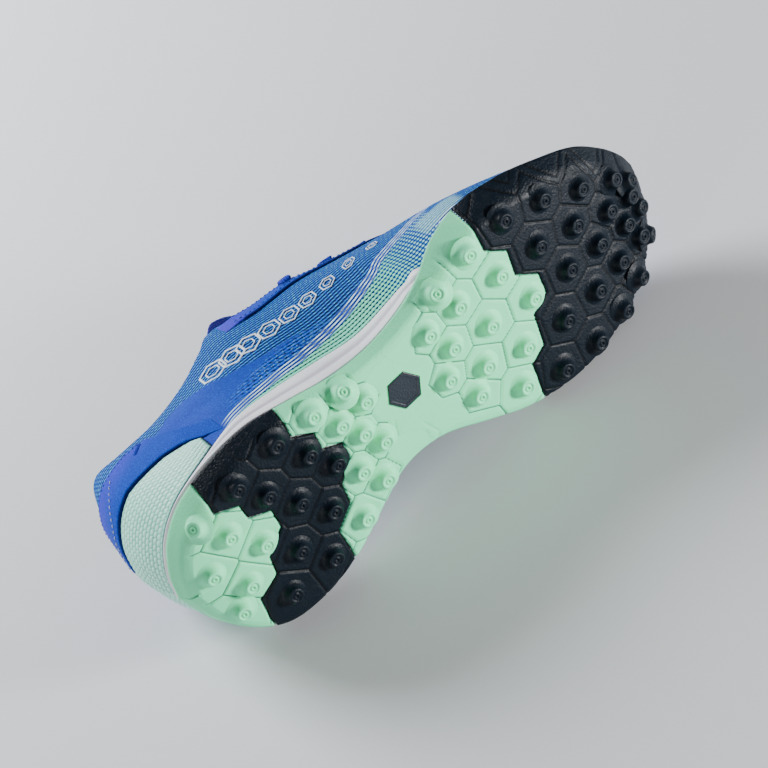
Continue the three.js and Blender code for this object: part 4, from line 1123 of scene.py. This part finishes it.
def midsole_rings(s):
    """Rings of the midsole as (inset, height), the strip's side in fine steps with a soft groove."""
    shown_to = smooth(0.60 * LENGTH, 0.628 * LENGTH, s.x)
    aside = smooth(0.565 * LENGTH, 0.60 * LENGTH, s.x)
    slope = smooth(0.57 * LENGTH, 0.61 * LENGTH, s.x) * (1 - smooth(0.66 * LENGTH, 0.70 * LENGTH, s.x))
    shelf = 0.55 + 0.4 * slope
    inner = np.minimum(s.seat - shelf, s.top - 0.1)

    def sunk(drop, clear):
        return s.cup_wall(s.seat - drop) + clear, s.seat - drop

    low, high = s.band + 0.65, np.maximum(s.band + 0.75, s.top - 0.6)
    cup = np.maximum(2.6, s.cup_wall(s.band - 0.4) + 0.8)
    shown = [(s.flare + 3.7, 0 * s.x + PLATE + GAP), (cup, s.band - 0.4),
        (mix(2.1, 2.6, aside), s.band + 0.45)]
    hidden = [(s.flare + 3.7, 0 * s.x + PLATE + GAP), sunk(2.3, 1.0), sunk(shelf + 0.7, 0.85)]
    marks = [0, 0, 0]
    waist = smooth(0.37 * LENGTH, 0.44 * LENGTH, s.x) * (1 - smooth(0.60 * LENGTH, 0.64 * LENGTH, s.x))
    heel = (1 - smooth(0.14 * LENGTH, 0.24 * LENGTH, s.x)) * smooth(0.14 * WIDTH, -0.06 * WIDTH, s.y)
    out = np.where(s.lateral, 0, 2.1 * waist) + 1.0 * heel
    steps = 12
    for k in range(steps + 1):
        t = k / steps
        dent = math.exp(-((t - 0.52) / 0.13) ** 2) * np.minimum(0.9, 0.10 * s.strip)
        swell = 0.35 * math.sin(math.pi * t) * (1 - aside) + out * (1 - 0.6 * t)
        shown.append((mix(mix(0.5, 0.95, t), mix(2.4, 2.45, t), aside) + dent - swell, mix(low, high, t)))
        hidden.append(sunk(shelf + mix(0.3, 0.1, t), 0.8))
        # marks for the painted shade in the strip's groove; 2 marks where the lining covers the foam
        marks.append(math.exp(-((t - 0.52) / 0.10) ** 2))
    shown += [(mix(1.1, 2.5, aside), s.top - 0.2), (mix(1.4, 2.6, aside), s.top),
        (s.feather - 0.9 - 0.6 * s.lean, s.top - 0.1), (s.feather - 0.65, inner),
        (s.feather + WALL + 0.6, inner), (s.feather + WALL + 2.6, s.bed)]
    hidden += [sunk(shelf + 0.05, 0.8), sunk(shelf, 0.8), sunk(shelf, 0.9), sunk(shelf, 1.0),
        (s.feather + WALL + 0.6, s.seat - shelf), (s.feather + WALL + 2.6, s.bed)]
    marks += [0, 0, 0, 0, 2, 2]
    rings = []
    for (a, b), (c, d) in zip(shown, hidden):
        rings.append((mix(a, c, shown_to), mix(b, d, shown_to)))
    return rings, marks


def ring_piece(name, count, rings_of, material, slot, node, across=8):
    """Closed solid of rings round the outline, closed across between the two sides."""
    half = count // 2
    p = np.linspace(0, 2, count, endpoint=False)
    s = Section(p)
    rings, marks = rings_of(s)
    points = np.concatenate([s.inward(a + 0 * s.x, b + 0 * s.x) for a, b in rings])
    faces = list(grid_faces(len(rings), count, closed=True))
    field = np.repeat(marks, count).astype(float)
    extra, total = [], len(points)
    for level, flip in ((0, True), (len(rings) - 1, False)):
        start = level * count
        rows = []
        for j in range(half + 1):
            a, b = start + j, start + (count - j) % count
            if a == b:
                rows.append([a])
                continue
            row = [a]
            for m in range(1, across):
                extra.append(mix(points[a], points[b], m / across))
                row.append(total + len(extra) - 1)
            rows.append(row + [b])
        for r, q in zip(rows, rows[1:]):
            if len(r) == 1:
                r = r * len(q)
            if len(q) == 1:
                q = q * len(r)
            for m in range(len(r) - 1):
                quad = [r[m], q[m], q[m + 1], r[m + 1]]
                faces.append(quad[::-1] if flip else quad)
    points = np.concatenate([points, extra])
    field = np.concatenate([field, np.zeros(len(extra))])
    return piece(name, points, triangles(np.array(faces)), material, slot, (node,), {"groove": field})


def insole_rings(s):
    seat = s.bed + INSOLE_SEAT
    return [(s.feather + WALL + 4.4, seat), (s.feather + WALL + 3.8, seat + 0.6),
        (s.feather + WALL + 3.6, seat + INSOLE * 0.5), (s.feather + WALL + 3.7, seat + INSOLE - 0.5),
        (s.feather + WALL + 4.0, seat + INSOLE - 0.15), (s.feather + WALL + 4.8, seat + INSOLE)], [0] * 6


# Upper

def creases(x, z):
    """Soft troughs and ridges in the wall, in millimetres outwards."""
    out = np.zeros_like(x)
    for x0, z0, x1, z1, wide, deep in CREASES:
        t, apart = to_segment(x, z, (x0 * LENGTH, z0 * HEIGHT), (x1 * LENGTH, z1 * HEIGHT))
        ends = np.sin(math.pi * np.clip(t, 0.02, 0.98)) ** 0.5
        out = out + notch(apart, deep, wide) * ends
    return out


def even_positions(count):
    """Positions round the upper in even steps along the middle of its side."""
    p = np.linspace(0, 2, 4000, endpoint=False)
    q = on_upper(p, np.full_like(p, 0.35))
    length = travelled(np.concatenate([q, q[:1]]))
    even = np.linspace(0, length[-1], count, endpoint=False)
    return np.interp(even, length, np.append(p, 2.0)), length[-1]


def shell_fields(p, points, run, rise):
    s = Section(p)
    x, z = points[..., 0], points[..., 2]
    line = z - height_at(SIDE_LINE, x)
    suede = (z - height_at(SUEDE_EDGE, x)) * 0.9
    foot = s.inward(1.2, s.top)[..., 2]
    return {"run": run, "rise": rise, "x": x, "line": line, "suede": suede, "low": z - foot}


def shell():
    count, levels = SHELL_GRID
    p, girth = even_positions(count)
    v = np.linspace(0, 1, levels)
    P, V = np.meshgrid(p, v)
    flat = on_upper(P, V)
    rise = travelled(flat)
    run = np.broadcast_to(np.linspace(0, girth, count, endpoint=False), P.shape)
    out = creases(flat[..., 0], flat[..., 2])
    outer = lifted(P, V, out)
    fields = shell_fields(P, flat, run, rise)
    # rounded rim, then the inside
    rim_points, inside = [outer], [np.zeros(P.shape)]
    top = np.full(count, 1.0)
    n = normal_at(p, top)
    up = on_upper(p, top) - on_upper(p, top - 0.02)
    up /= np.linalg.norm(up, axis=-1, keepdims=True)
    for a in (30, 60, 90, 120, 150):
        turn = math.radians(a)
        inward, upward = n * (1 - math.cos(turn)), up * math.sin(turn) * 0.6
        rim_points.append((on_upper(p, top) - inward * (WALL / 2) + upward * (WALL / 2))[None])
        inside.append(np.full((1, count), a / 180))
    inner_v = np.linspace(1, 0, 30)
    PI, VI = np.meshgrid(p, inner_v)
    rim_points.append(lifted(PI, VI, np.full(PI.shape, -float(WALL))))
    inside.append(np.ones(PI.shape))
    grid = np.concatenate(rim_points)
    faces = grid_faces(len(grid), count, closed=True, looped=True)
    extra = len(grid) - levels
    full = {k: np.concatenate([a, np.repeat(a[-1:], extra, 0)]) for k, a in fields.items()}
    full["inside"] = np.concatenate(inside)
    piece("upper_shell", grid.reshape(-1, 3), faces, upper_material(), "upper", ("upper",), full)


def basket(run, rise):
    """Small rounded bumps laid like bricks, from 0 between them to 1 on their tops."""
    level = rise / BUMP[1]
    along = run / BUMP[0] + 0.5 * np.mod(np.floor(level), 2)
    return (np.sin(math.pi * np.mod(along, 1)) * np.sin(math.pi * np.mod(level, 1))) ** 0.5


def slit_distance(x, z):
    """Distance in side view to the slit."""
    out = np.full(x.shape, FAR)
    for (x0, z0), (x1, z1) in zip(SLIT, SLIT[1:]):
        apart = to_segment(x, z, (x0 * LENGTH, z0 * HEIGHT), (x1 * LENGTH, z1 * HEIGHT))[1]
        out = np.minimum(out, apart)
    return out


def plate(name, p_of, v_low, v_high, thick, columns, rows, material, slot, node, bulge=0.0, fade=None,
        bumps=0.0, cut=False):
    """A rounded plate over part of the upper; p_of gives its positions, fade thins it out."""
    s = np.linspace(0, 1, columns)
    p = p_of(s)
    low, high = v_low(p), v_high(p)
    t = np.linspace(0, 1, rows)[:, None]
    V = mix(low[None], high[None], t)
    P = np.broadcast_to(p, V.shape)
    flat = on_upper(P, V)
    rise, run = travelled(flat, 0), travelled(flat, 1)
    edge = np.minimum(np.minimum(rise, rise[-1:] - rise), np.minimum(run, run[:, -1:] - run))
    rounded = np.sqrt(np.clip(1 - (1 - np.clip(edge / thick, 0, 1)) ** 2, 0, 1))
    dome = bulge * np.sin(math.pi * np.clip(t, 0, 1)) * smooth(0, 8, edge)
    full_height = SEATED + thick * (0.25 + 0.75 * rounded) + dome
    # the bumps' heights, which also set the counter's painted shade and highlight
    relief = basket(run, rise) * smooth(0.6, 2.0, edge)
    full_height = full_height + bumps * relief
    if cut:
        apart = slit_distance(flat[..., 0], flat[..., 2])
        full_height = full_height - notch(apart, 0.8 * thick, SLIT_WIDE)
        # the slit also takes the painted edge shade
        edge = np.minimum(edge, apart)
    share = fade(p)[None] if fade else np.ones((1, columns))
    outer = lifted(P, V, mix(0.12, full_height, share))
    inner = lifted(P, V, mix(-0.10, SEATED - 0.15, share) + 0 * full_height)
    points, faces = sheet_solid(outer, inner)
    # where the plate thins out, the painted edge shade moves away
    edge = edge + 9 * (1 - share)
    tint = smooth(0.36, 0.12, flat[..., 0] / LENGTH) * smooth(0.60, 0.78, flat[..., 2] / HEIGHT)
    if node == "eyestay":
        tint = smooth(0.44, 0.34, flat[..., 0] / LENGTH)
    fields = {"run": run, "rise": rise, "edge": edge, "tint": tint, "relief": relief}
    full = {k: np.concatenate([a.ravel(), a.ravel()]) for k, a in fields.items()}
    return piece(name, points, faces, material, slot, (node,), full)


def clear_of_sole(p, lift):
    s = Section(p)
    lean = np.maximum(0, s.lean)
    return s.inward(1.2, s.top)[..., 2] + 0.6 + lift * lean / np.hypot(1, lean)


def heel_counter():
    end = position_at(COUNTER_END)
    plate("counter_shell", lambda s: mix(-end, end, s),
        lambda p: height_on(p, clear_of_sole(p, SEATED + COUNTER)),
        lambda p: height_on(p, height_at(COUNTER_TOP, outline(p)[0])),
        COUNTER, *COUNTER_GRID, counter_material(), "counter", "heel_counter", bulge=0.5, bumps=0.45)


def heel_overlay():
    end, inner = position_at(OVERLAY_END), position_at(COUNTER_END)

    def low(p):
        bare = smooth(inner + 0.002, inner + 0.03, np.abs(p))
        edge = height_at(COUNTER_TOP, outline(p)[0]) + 1.2
        return height_on(p, mix(edge, clear_of_sole(p, 0) + 3, bare))
    plate("overlay_suede", lambda s: mix(-end, end, s), low,
        lambda p: height_on(p, height_at(OVERLAY_TOP, outline(p)[0])),
        OVERLAY, *OVERLAY_GRID,
        suede_material("suede_heel", srgb(0, 48, 162), srgb(44, 50, 180), turn="tint"), "overlay",
        "heel_overlay", fade=lambda p: smooth(OVERLAY_END, OVERLAY_THINS, outline(p)[0]), cut=True)


def throat_run(p):
    _, _, high, top = side_curve(p)
    return np.linalg.norm(3 * (top - high), axis=-1)


def eyestay():
    start = EYESTAY_FROM / LAST_ROW

    def width(p):
        return mix(*EYESTAY_WIDE, smooth(0.6, 1, 1 - np.abs(1 - p)))
    cloth = suede_material("eyestay_cloth", srgb(0, 50, 166), srgb(62, 50, 184), turn="tint")
    plate("eyestay_band", lambda s: mix(start, 2 - start, s), lambda p: 1 - width(p) / throat_run(p),
        lambda p: 1 - EYESTAY_EDGE / throat_run(p), EYESTAY, *EYESTAY_GRID, cloth, "eyestay", "eyestay",
        fade=lambda p: smooth(start, start + 0.03, 1 - np.abs(1 - p)))


def tongue_grid(rows, columns):
    """Upper face, normal and thickness of the tongue over a grid of s along and a across."""
    count = len(TONGUE_ROWS[1]) - 1
    s = np.linspace(0, 1, columns)
    x, middle, half, z, drop = [column(TONGUE_ROWS, name, s * count) for name in TONGUE_ROWS[0]]
    spine = np.stack([x * LENGTH, middle * WIDTH, z * HEIGHT], -1)
    half, drop = half * WIDTH, drop * HEIGHT
    along = np.gradient(spine, axis=0)
    along /= np.linalg.norm(along, axis=1, keepdims=True)
    up = np.stack([-along[:, 2], np.zeros(columns), along[:, 0]], -1)
    up *= np.sign(up[:, 2:])
    up /= np.linalg.norm(up, axis=1, keepdims=True)
    rounding = np.sqrt(1 - 0.5 * np.clip((s - 0.86) / 0.14, 0, 1) ** 2)
    a = np.linspace(-1, 1, rows)[:, None] * rounding
    aside = np.array([0.0, 1.0, 0.0])
    points = spine + (a * half)[..., None] * aside - (drop * a * a)[..., None] * up
    normal = up + (drop / half * a)[..., None] * aside
    normal /= np.linalg.norm(normal, axis=-1, keepdims=True)
    thick = mix(TONGUE, 1.6, np.abs(a) ** 4) + 0 * half
    return points, normal, thick, s, a


def tongue():
    rows, columns = TONGUE_GRID
    points, normal, thick, s, a = tongue_grid(rows, columns)
    end = np.clip((1 - s) / 0.03, 0, 1)
    across = np.linspace(-1, 1, rows)[:, None]
    soft = np.sqrt(np.clip(1 - (1 - end) ** 2, 0, 1)) * np.sqrt(np.clip(1 - np.abs(across) ** 14, 0, 1))
    sink = (1 - soft) * thick * 0.5
    ridge = notch(np.abs(a) - 0.80, 0.35, 0.05)
    outer = points + normal * (ridge - sink)[..., None]
    inner = points - normal * (thick - sink)[..., None]
    solid, faces = sheet_solid(outer, inner)
    run = np.broadcast_to(s * TONGUE_RUN, (rows, columns))
    rise = a * TONGUE_SIDE
    fields = {"run": np.tile(run.ravel(), 2), "rise": np.tile(rise.ravel(), 2),
        "edge": np.full(len(solid), CLEAR)}
    cloth = suede_material("tongue_cloth", srgb(44, 56, 180), srgb(70, 60, 190), True)
    piece("tongue_pad", solid, faces, cloth, "tongue", ("tongue",), fields)


def tongue_top(x, y):
    table = np.array(TONGUE_ROWS[1])[::-1]
    middle, half, z, drop = [np.interp(x / LENGTH, table[:, 0], table[:, k]) for k in (1, 2, 3, 4)]
    a = (y - middle * WIDTH) / (half * WIDTH)
    return (z - drop * a * a) * HEIGHT


def lace_position(index):
    return mix(*LACE_ROWS, index / (LACE_BARS - 1)) / LAST_ROW


def lace_route(index):
    """Middle line of a lace bar, up out of one eyelet, over the throat and down into the other."""
    p = lace_position(index)

    def edge(q, below, lift):
        q = np.array([q])
        return lifted(q, 1 - below / throat_run(q), np.array([lift]))[0]
    left, right = edge(p, 0, 2.3), edge(2 - p, 0, 2.3)
    route = [*(edge(p, below, lift) for below, lift in LACE_RISE), left]
    for t in (0.2, 0.5, 0.8):
        q = mix(left, right, t)
        heelward, toeward = tongue_top(q[0] - 2, q[1]), tongue_top(q[0] + LACE_WIDTH / 2, q[1])
        q[2] = max(q[2] + 8 * t * (1 - t), heelward + 2.4, toeward + 1.6)
        route.append(q)
    route += [right, *(edge(2 - p, below, lift) for below, lift in reversed(LACE_RISE))]
    before, after = on_upper(np.array([p - 0.02, p + 0.02]), np.ones(2))
    along = after - before
    along[1] = 0
    return np.array(route), along / np.linalg.norm(along)


def spline(points, count):
    """Centripetal Catmull-Rom through points."""
    ends = np.concatenate([[2 * points[0] - points[1]], points, [2 * points[-1] - points[-2]]])
    out = []
    for k in range(len(points) - 1):
        p0, p1, p2, p3 = ends[k:k + 4]
        t0 = 0.0
        t1 = t0 + np.linalg.norm(p1 - p0) ** 0.5
        t2 = t1 + np.linalg.norm(p2 - p1) ** 0.5
        t3 = t2 + np.linalg.norm(p3 - p2) ** 0.5
        for t in np.linspace(t1, t2, count, endpoint=False):
            a1 = (t1 - t) / (t1 - t0) * p0 + (t - t0) / (t1 - t0) * p1
            a2 = (t2 - t) / (t2 - t1) * p1 + (t - t1) / (t2 - t1) * p2
            a3 = (t3 - t) / (t3 - t2) * p2 + (t - t2) / (t3 - t2) * p3
            b1 = (t2 - t) / (t2 - t0) * a1 + (t - t0) / (t2 - t0) * a2
            b2 = (t3 - t) / (t3 - t1) * a2 + (t - t1) / (t3 - t1) * a3
            out.append((t2 - t) / (t2 - t1) * b1 + (t - t1) / (t2 - t1) * b2)
    out.append(points[-1])
    return np.array(out)


def flat_lace(route, along, steps=14):
    """A flat woven lace as a closed tube of a rounded flat section."""
    middle = spline(route, steps)
    way = np.gradient(middle, axis=0)
    way /= np.linalg.norm(way, axis=1, keepdims=True)
    wide = along - way * (way @ along)[:, None]
    wide /= np.linalg.norm(wide, axis=1, keepdims=True)
    up = np.cross(wide, way)
    reach = np.clip(np.minimum(np.arange(len(middle)), np.arange(len(middle))[::-1]) / (2.0 * steps), 0, 1)
    angle = np.linspace(0, 2 * math.pi, 20, endpoint=False)
    c, q = np.cos(angle), np.sin(angle)
    flatness = np.sign(c) * np.abs(c) ** 0.6
    half = LACE_WIDTH / 2 * mix(0.42, 1.0, reach)
    thick = LACE_THICK / 2 * mix(1.15, 1.0, reach)
    rows = middle[:, None] + wide[:, None] * (half[:, None] * flatness)[..., None] \
        + up[:, None] * (thick[:, None] * np.sign(q) * np.abs(q) ** 0.8)[..., None]
    points = rows.reshape(-1, 3)
    faces = triangles(grid_faces(len(middle), len(angle), closed=True))
    run = np.repeat(travelled(middle), len(angle))
    rise = np.tile(flatness * LACE_WIDTH / 2, len(middle))
    return points, faces, run, rise


def laces():
    material = suede_material("lace_weave", srgb(14, 40, 160), srgb(30, 50, 178), True)
    for index in range(LACE_BARS):
        route, along = lace_route(index)
        points, faces, run, rise = flat_lace(route, along)
        piece(f"lace_{index + 1}", points, faces, material, "lace", (f"lace_bar_{index + 1}",),
            {"run": run, "rise": rise, "edge": np.full(len(run), CLEAR)})
    rows = [lace_position(index) for index in range(LACE_BARS)]
    rings = [eyelet(q) for p in rows for q in (p, 2 - p)]
    piece("eyelets", *join(rings), plain_cloth("eyelet_thread", (10, 40, 120), (30, 80, 180)), "eyestay")


def eyelet(q):
    """A stitched ring round a lace hole."""
    q = np.array([q])
    v = 1 - EYELET_AT / throat_run(q)
    centre, n = lifted(q, v, np.array([SEATED + EYESTAY - 0.1]))[0], normal_at(q, v)[0]
    a = np.cross(n, (1, 0, 0))
    a /= np.linalg.norm(a)
    b = np.cross(n, a)
    turn = np.linspace(0, 2 * math.pi, 28, endpoint=False)
    tube = np.linspace(0, 2 * math.pi, 10, endpoint=False)
    spoke = np.cos(turn)[:, None] * a + np.sin(turn)[:, None] * b
    reach = EYELET_RING + 0.55 * np.cos(tube)
    rows = centre + spoke[:, None] * reach[:, None] + n * (0.45 * np.sin(tube))[:, None]
    return rows.reshape(-1, 3), triangles(grid_faces(len(turn), len(tube), closed=True, looped=True))


def collar_pad():
    """Padding inside the collar from one throat corner round the heel to the other."""
    start = PAD_FROM / LAST_ROW
    s = np.linspace(0, 1, 320)
    p = mix(-start, start, s)
    ends = np.sin(math.pi * np.clip(s, 0, 1)) ** 0.35
    t = np.linspace(0, 1, 26)
    depth = PAD_DEEP / np.maximum(throat_run(p), 30)
    V = 1 - depth[None] * t[:, None]
    P = np.broadcast_to(p, V.shape)
    puff = PAD_PUFF * np.sin(math.pi * t[:, None] ** 0.75) ** 0.8 * ends[None]
    ribs = 1 - 0.06 * np.cos(2 * math.pi * s * PAD_RIBS)[None]
    face = lifted(P, V, -(WALL + 0.35 + puff * ribs))
    back = lifted(P, V, np.full(P.shape, -(WALL + 0.25)))
    points, faces = sheet_solid(face, back)
    cloth = plain_cloth("lining", (16, 40, 120), (40, 66, 160), 1100.0)
    pad = piece("collar_pad", points, faces[:, ::-1], cloth, "insole")


# Prints and stitches

def along_upper(p, v, lift, radius, length_dir, sides=8):
    """A short rounded stitch lying on the upper."""
    centre = lifted(np.array([p]), np.array([v]), np.array([lift]))[0]
    n = normal_at(np.array([p]), np.array([v]))[0]
    d = length_dir - n * (length_dir @ n)
    length = np.linalg.norm(d)
    d /= length
    w = np.cross(n, d)
    rows = []
    for t in np.linspace(0, 1, 7):
        r = radius * math.sin(math.pi * min(max(t, 0.04), 0.96)) ** 0.5
        c = centre + d * (t - 0.5) * length + n * 0.25 * math.sin(math.pi * t)
        angle = np.linspace(0, 2 * math.pi, sides, endpoint=False)
        rows.append(c + r * (np.cos(angle)[:, None] * w + np.sin(angle)[:, None] * n))
    points = np.concatenate(rows)
    return points, triangles(grid_faces(len(rows), sides, closed=True))


def stitch_row(path, lift, pitch, share=0.62, radius=0.32):
    """Stitches along a path of (p, v) pairs; each covers a share of the pitch."""
    p, v = np.array(path).T
    length = travelled(on_upper(p, v))
    out = []
    for at in np.arange(pitch, length[-1] - pitch, pitch):
        ends = np.array([at, at + pitch * share])
        pp, vv = np.interp(ends, length, p), np.interp(ends, length, v)
        start, end = on_upper(pp, vv)
        out.append(along_upper(pp[0], vv[0], lift, radius, end - start))
    return out


def heel_row(to, count, line, drop, lift, *looks):
    """Stitches round the heel to a share of LENGTH, below a line of heights."""
    end = position_at(to * LENGTH)
    p = np.linspace(-end, end, count)
    z = height_at(line, outline(p)[0]) - drop
    return stitch_row(np.column_stack([p, height_on(p, z)]), SEATED + OVERLAY + lift, *looks)


def stitches():
    white = join(heel_row(0.078, 160, HEEL_STITCHES, 0.0, 0.05, 2.8, 0.60, 0.27))
    piece("stitches_white", *white, plain_cloth("thread_white", (226, 232, 245), (200, 210, 235)), "upper")
    rows = []
    start = THREAD_FROM / LAST_ROW
    p = np.linspace(start, 2 - start, 400)
    for below in (2.6, 12.6):
        below = below * mix(1.0, 0.62, smooth(0.6, 1, 1 - np.abs(1 - p)))
        path = np.column_stack([p, 1 - below / throat_run(p)])
        rows += stitch_row(path, SEATED + EYESTAY - 0.08, 2.6, radius=0.24)
    blue = join(rows + heel_row(0.145, 300, OVERLAY_TOP, 2.2, -0.08, 2.4, 0.62, 0.22))
    piece("stitches_blue", *blue, plain_cloth("thread_blue", (20, 60, 160), (50, 100, 200)), "upper")


def hexagon_print():
    """A plain chain of shrinking hexagon outlines, printed on both sides of the quarter."""
    parts = []
    for side in (1, -1):
        for k in range(CHAIN_COUNT):
            t = k / (CHAIN_COUNT - 1)
            p = position_at(mix(*CHAIN_X, t ** 0.90) * LENGTH)
            p = p if side > 0 else 2 - p
            z = mix(*CHAIN_Z, t) * HEIGHT
            radius, wide = mix(*CHAIN_RADIUS, t), mix(*CHAIN_LINE, t)
            parts.append(hexagon_ring(p, z, radius, wide))
            parts.append(hexagon_ring(p, z, radius * INNER_RING, wide * 0.7))
    s = Shader("print_white")
    s.bump(s.noise(1200.0, 2.0), 0.0001, 0.4)
    material = s.finish(s.colour(s.noise(300.0), srgb(214, 236, 248), srgb(238, 244, 252)), 0.5)
    piece("side_print", *join(parts), material, "upper")


def hexagon_ring(p, z, radius, wide):
    p = np.array([p])
    v = height_on(p, np.array([z]))
    centre, n = on_upper(p, v)[0], normal_at(p, v)[0]
    a = np.array([1.0, 0, 0]) - n * n[0]
    a /= np.linalg.norm(a)
    b = np.cross(n, a)
    if b[2] < 0:
        b = -b
    loops = []
    outer, inner = radius + wide / 2, radius - wide / 2
    for r, lift in ((outer, 0.12), (outer - 0.1, 0.38), (inner + 0.1, 0.38), (inner, 0.12)):
        path = hexagon(r, 6, math.pi / 6)
        target = centre + path[:, :1] * a + path[:, 1:] * b
        # onto the wall: positions by x, then by height
        pos = position_at(target[:, 0])
        pos = pos if p[0] <= 1 else 2 - pos
        for _ in range(3):
            vv = height_on(pos, target[:, 2])
            miss = target[:, 0] - on_upper(pos, vv)[:, 0]
            step = on_upper(pos + 0.004, vv)[:, 0] - on_upper(pos - 0.004, vv)[:, 0]
            pos = pos + miss / step * 0.008
        vv = height_on(pos, target[:, 2])
        loops.append(lifted(pos, vv, np.full(len(pos), lift)))
    return np.concatenate(loops), triangles(grid_faces(len(loops), 36, closed=True, looped=True))


# Stage, light and camera

def stage():
    mesh = bpy.data.meshes.new("floor")
    size = 6.0
    corners = [(-size, -size, 0), (size, -size, 0), (size, size, 0), (-size, size, 0)]
    mesh.from_pydata(corners, [], [(0, 1, 2, 3)])
    s = Shader("floor_plain")
    mesh.materials.append(s.finish(srgb(226, 227, 230), 0.9))
    floor = bpy.data.objects.new("floor", mesh)
    bpy.context.scene.collection.objects.link(floor)
    world = bpy.data.worlds.new("studio")
    bpy.context.scene.world = world
    world.use_nodes = True
    world.node_tree.nodes["Background"].inputs["Color"].default_value = (0.86, 0.9, 1.0, 1)
    world.node_tree.nodes["Background"].inputs["Strength"].default_value = 0.15


def area_light(name, place, target, size, power, colour=(1, 1, 1)):
    light = bpy.data.lights.new(name, "AREA")
    light.shape = "DISK"
    light.size = size
    light.energy = power
    light.color = colour
    thing = bpy.data.objects.new(name, light)
    thing.location = place
    thing.rotation_euler = (Vector(target) - Vector(place)).to_track_quat("-Z", "Y").to_euler()
    bpy.context.scene.collection.objects.link(thing)


def lights():
    area_light("key", (1.05, -1.05, 0.22), (0.0, -0.05, 0.05), 0.30, 44, (1.0, 0.985, 0.96))
    area_light("back", (-0.35, 0.95, 0.72), (0, 0, 0.06), 0.6, 27, (0.95, 0.975, 1.0))
    area_light("heel", (-1.1, -0.55, 0.35), (-0.1, 0, 0.05), 0.5, 4.5)


def camera():
    data = bpy.data.cameras.new("camera")
    data.sensor_width = 36.0
    data.lens = CAMERA_PIXELS / FRAME_PIXELS * 36.0
    data.clip_start = 0.05
    data.clip_end = 50
    thing = bpy.data.objects.new("camera", data)
    right, up = np.array(CAMERA_RIGHT) @ AXES, np.array(CAMERA_UP) @ AXES
    right /= np.linalg.norm(right)
    back = np.cross(right, up)
    back /= np.linalg.norm(back)
    up = np.cross(back, right)
    place = lay(np.array(CAMERA_AT))
    thing.matrix_world = Matrix([[right[k], up[k], back[k], place[k]] for k in range(3)] + [[0, 0, 0, 1]])
    bpy.context.scene.collection.objects.link(thing)
    bpy.context.scene.camera = thing


camera()
stage()
lights()
outsole()
inlay()
ring_piece("midsole_side", 760, midsole_rings, foam_material(), "midsole", "midsole")
insole_cloth = plain_cloth("insole_cloth", (14, 38, 112), (34, 66, 150))
ring_piece("insole_pad", 300, insole_rings, insole_cloth, "insole", "insole")
shell()
heel_counter()
heel_overlay()
eyestay()
tongue()
laces()
collar_pad()
stitches()
hexagon_print()
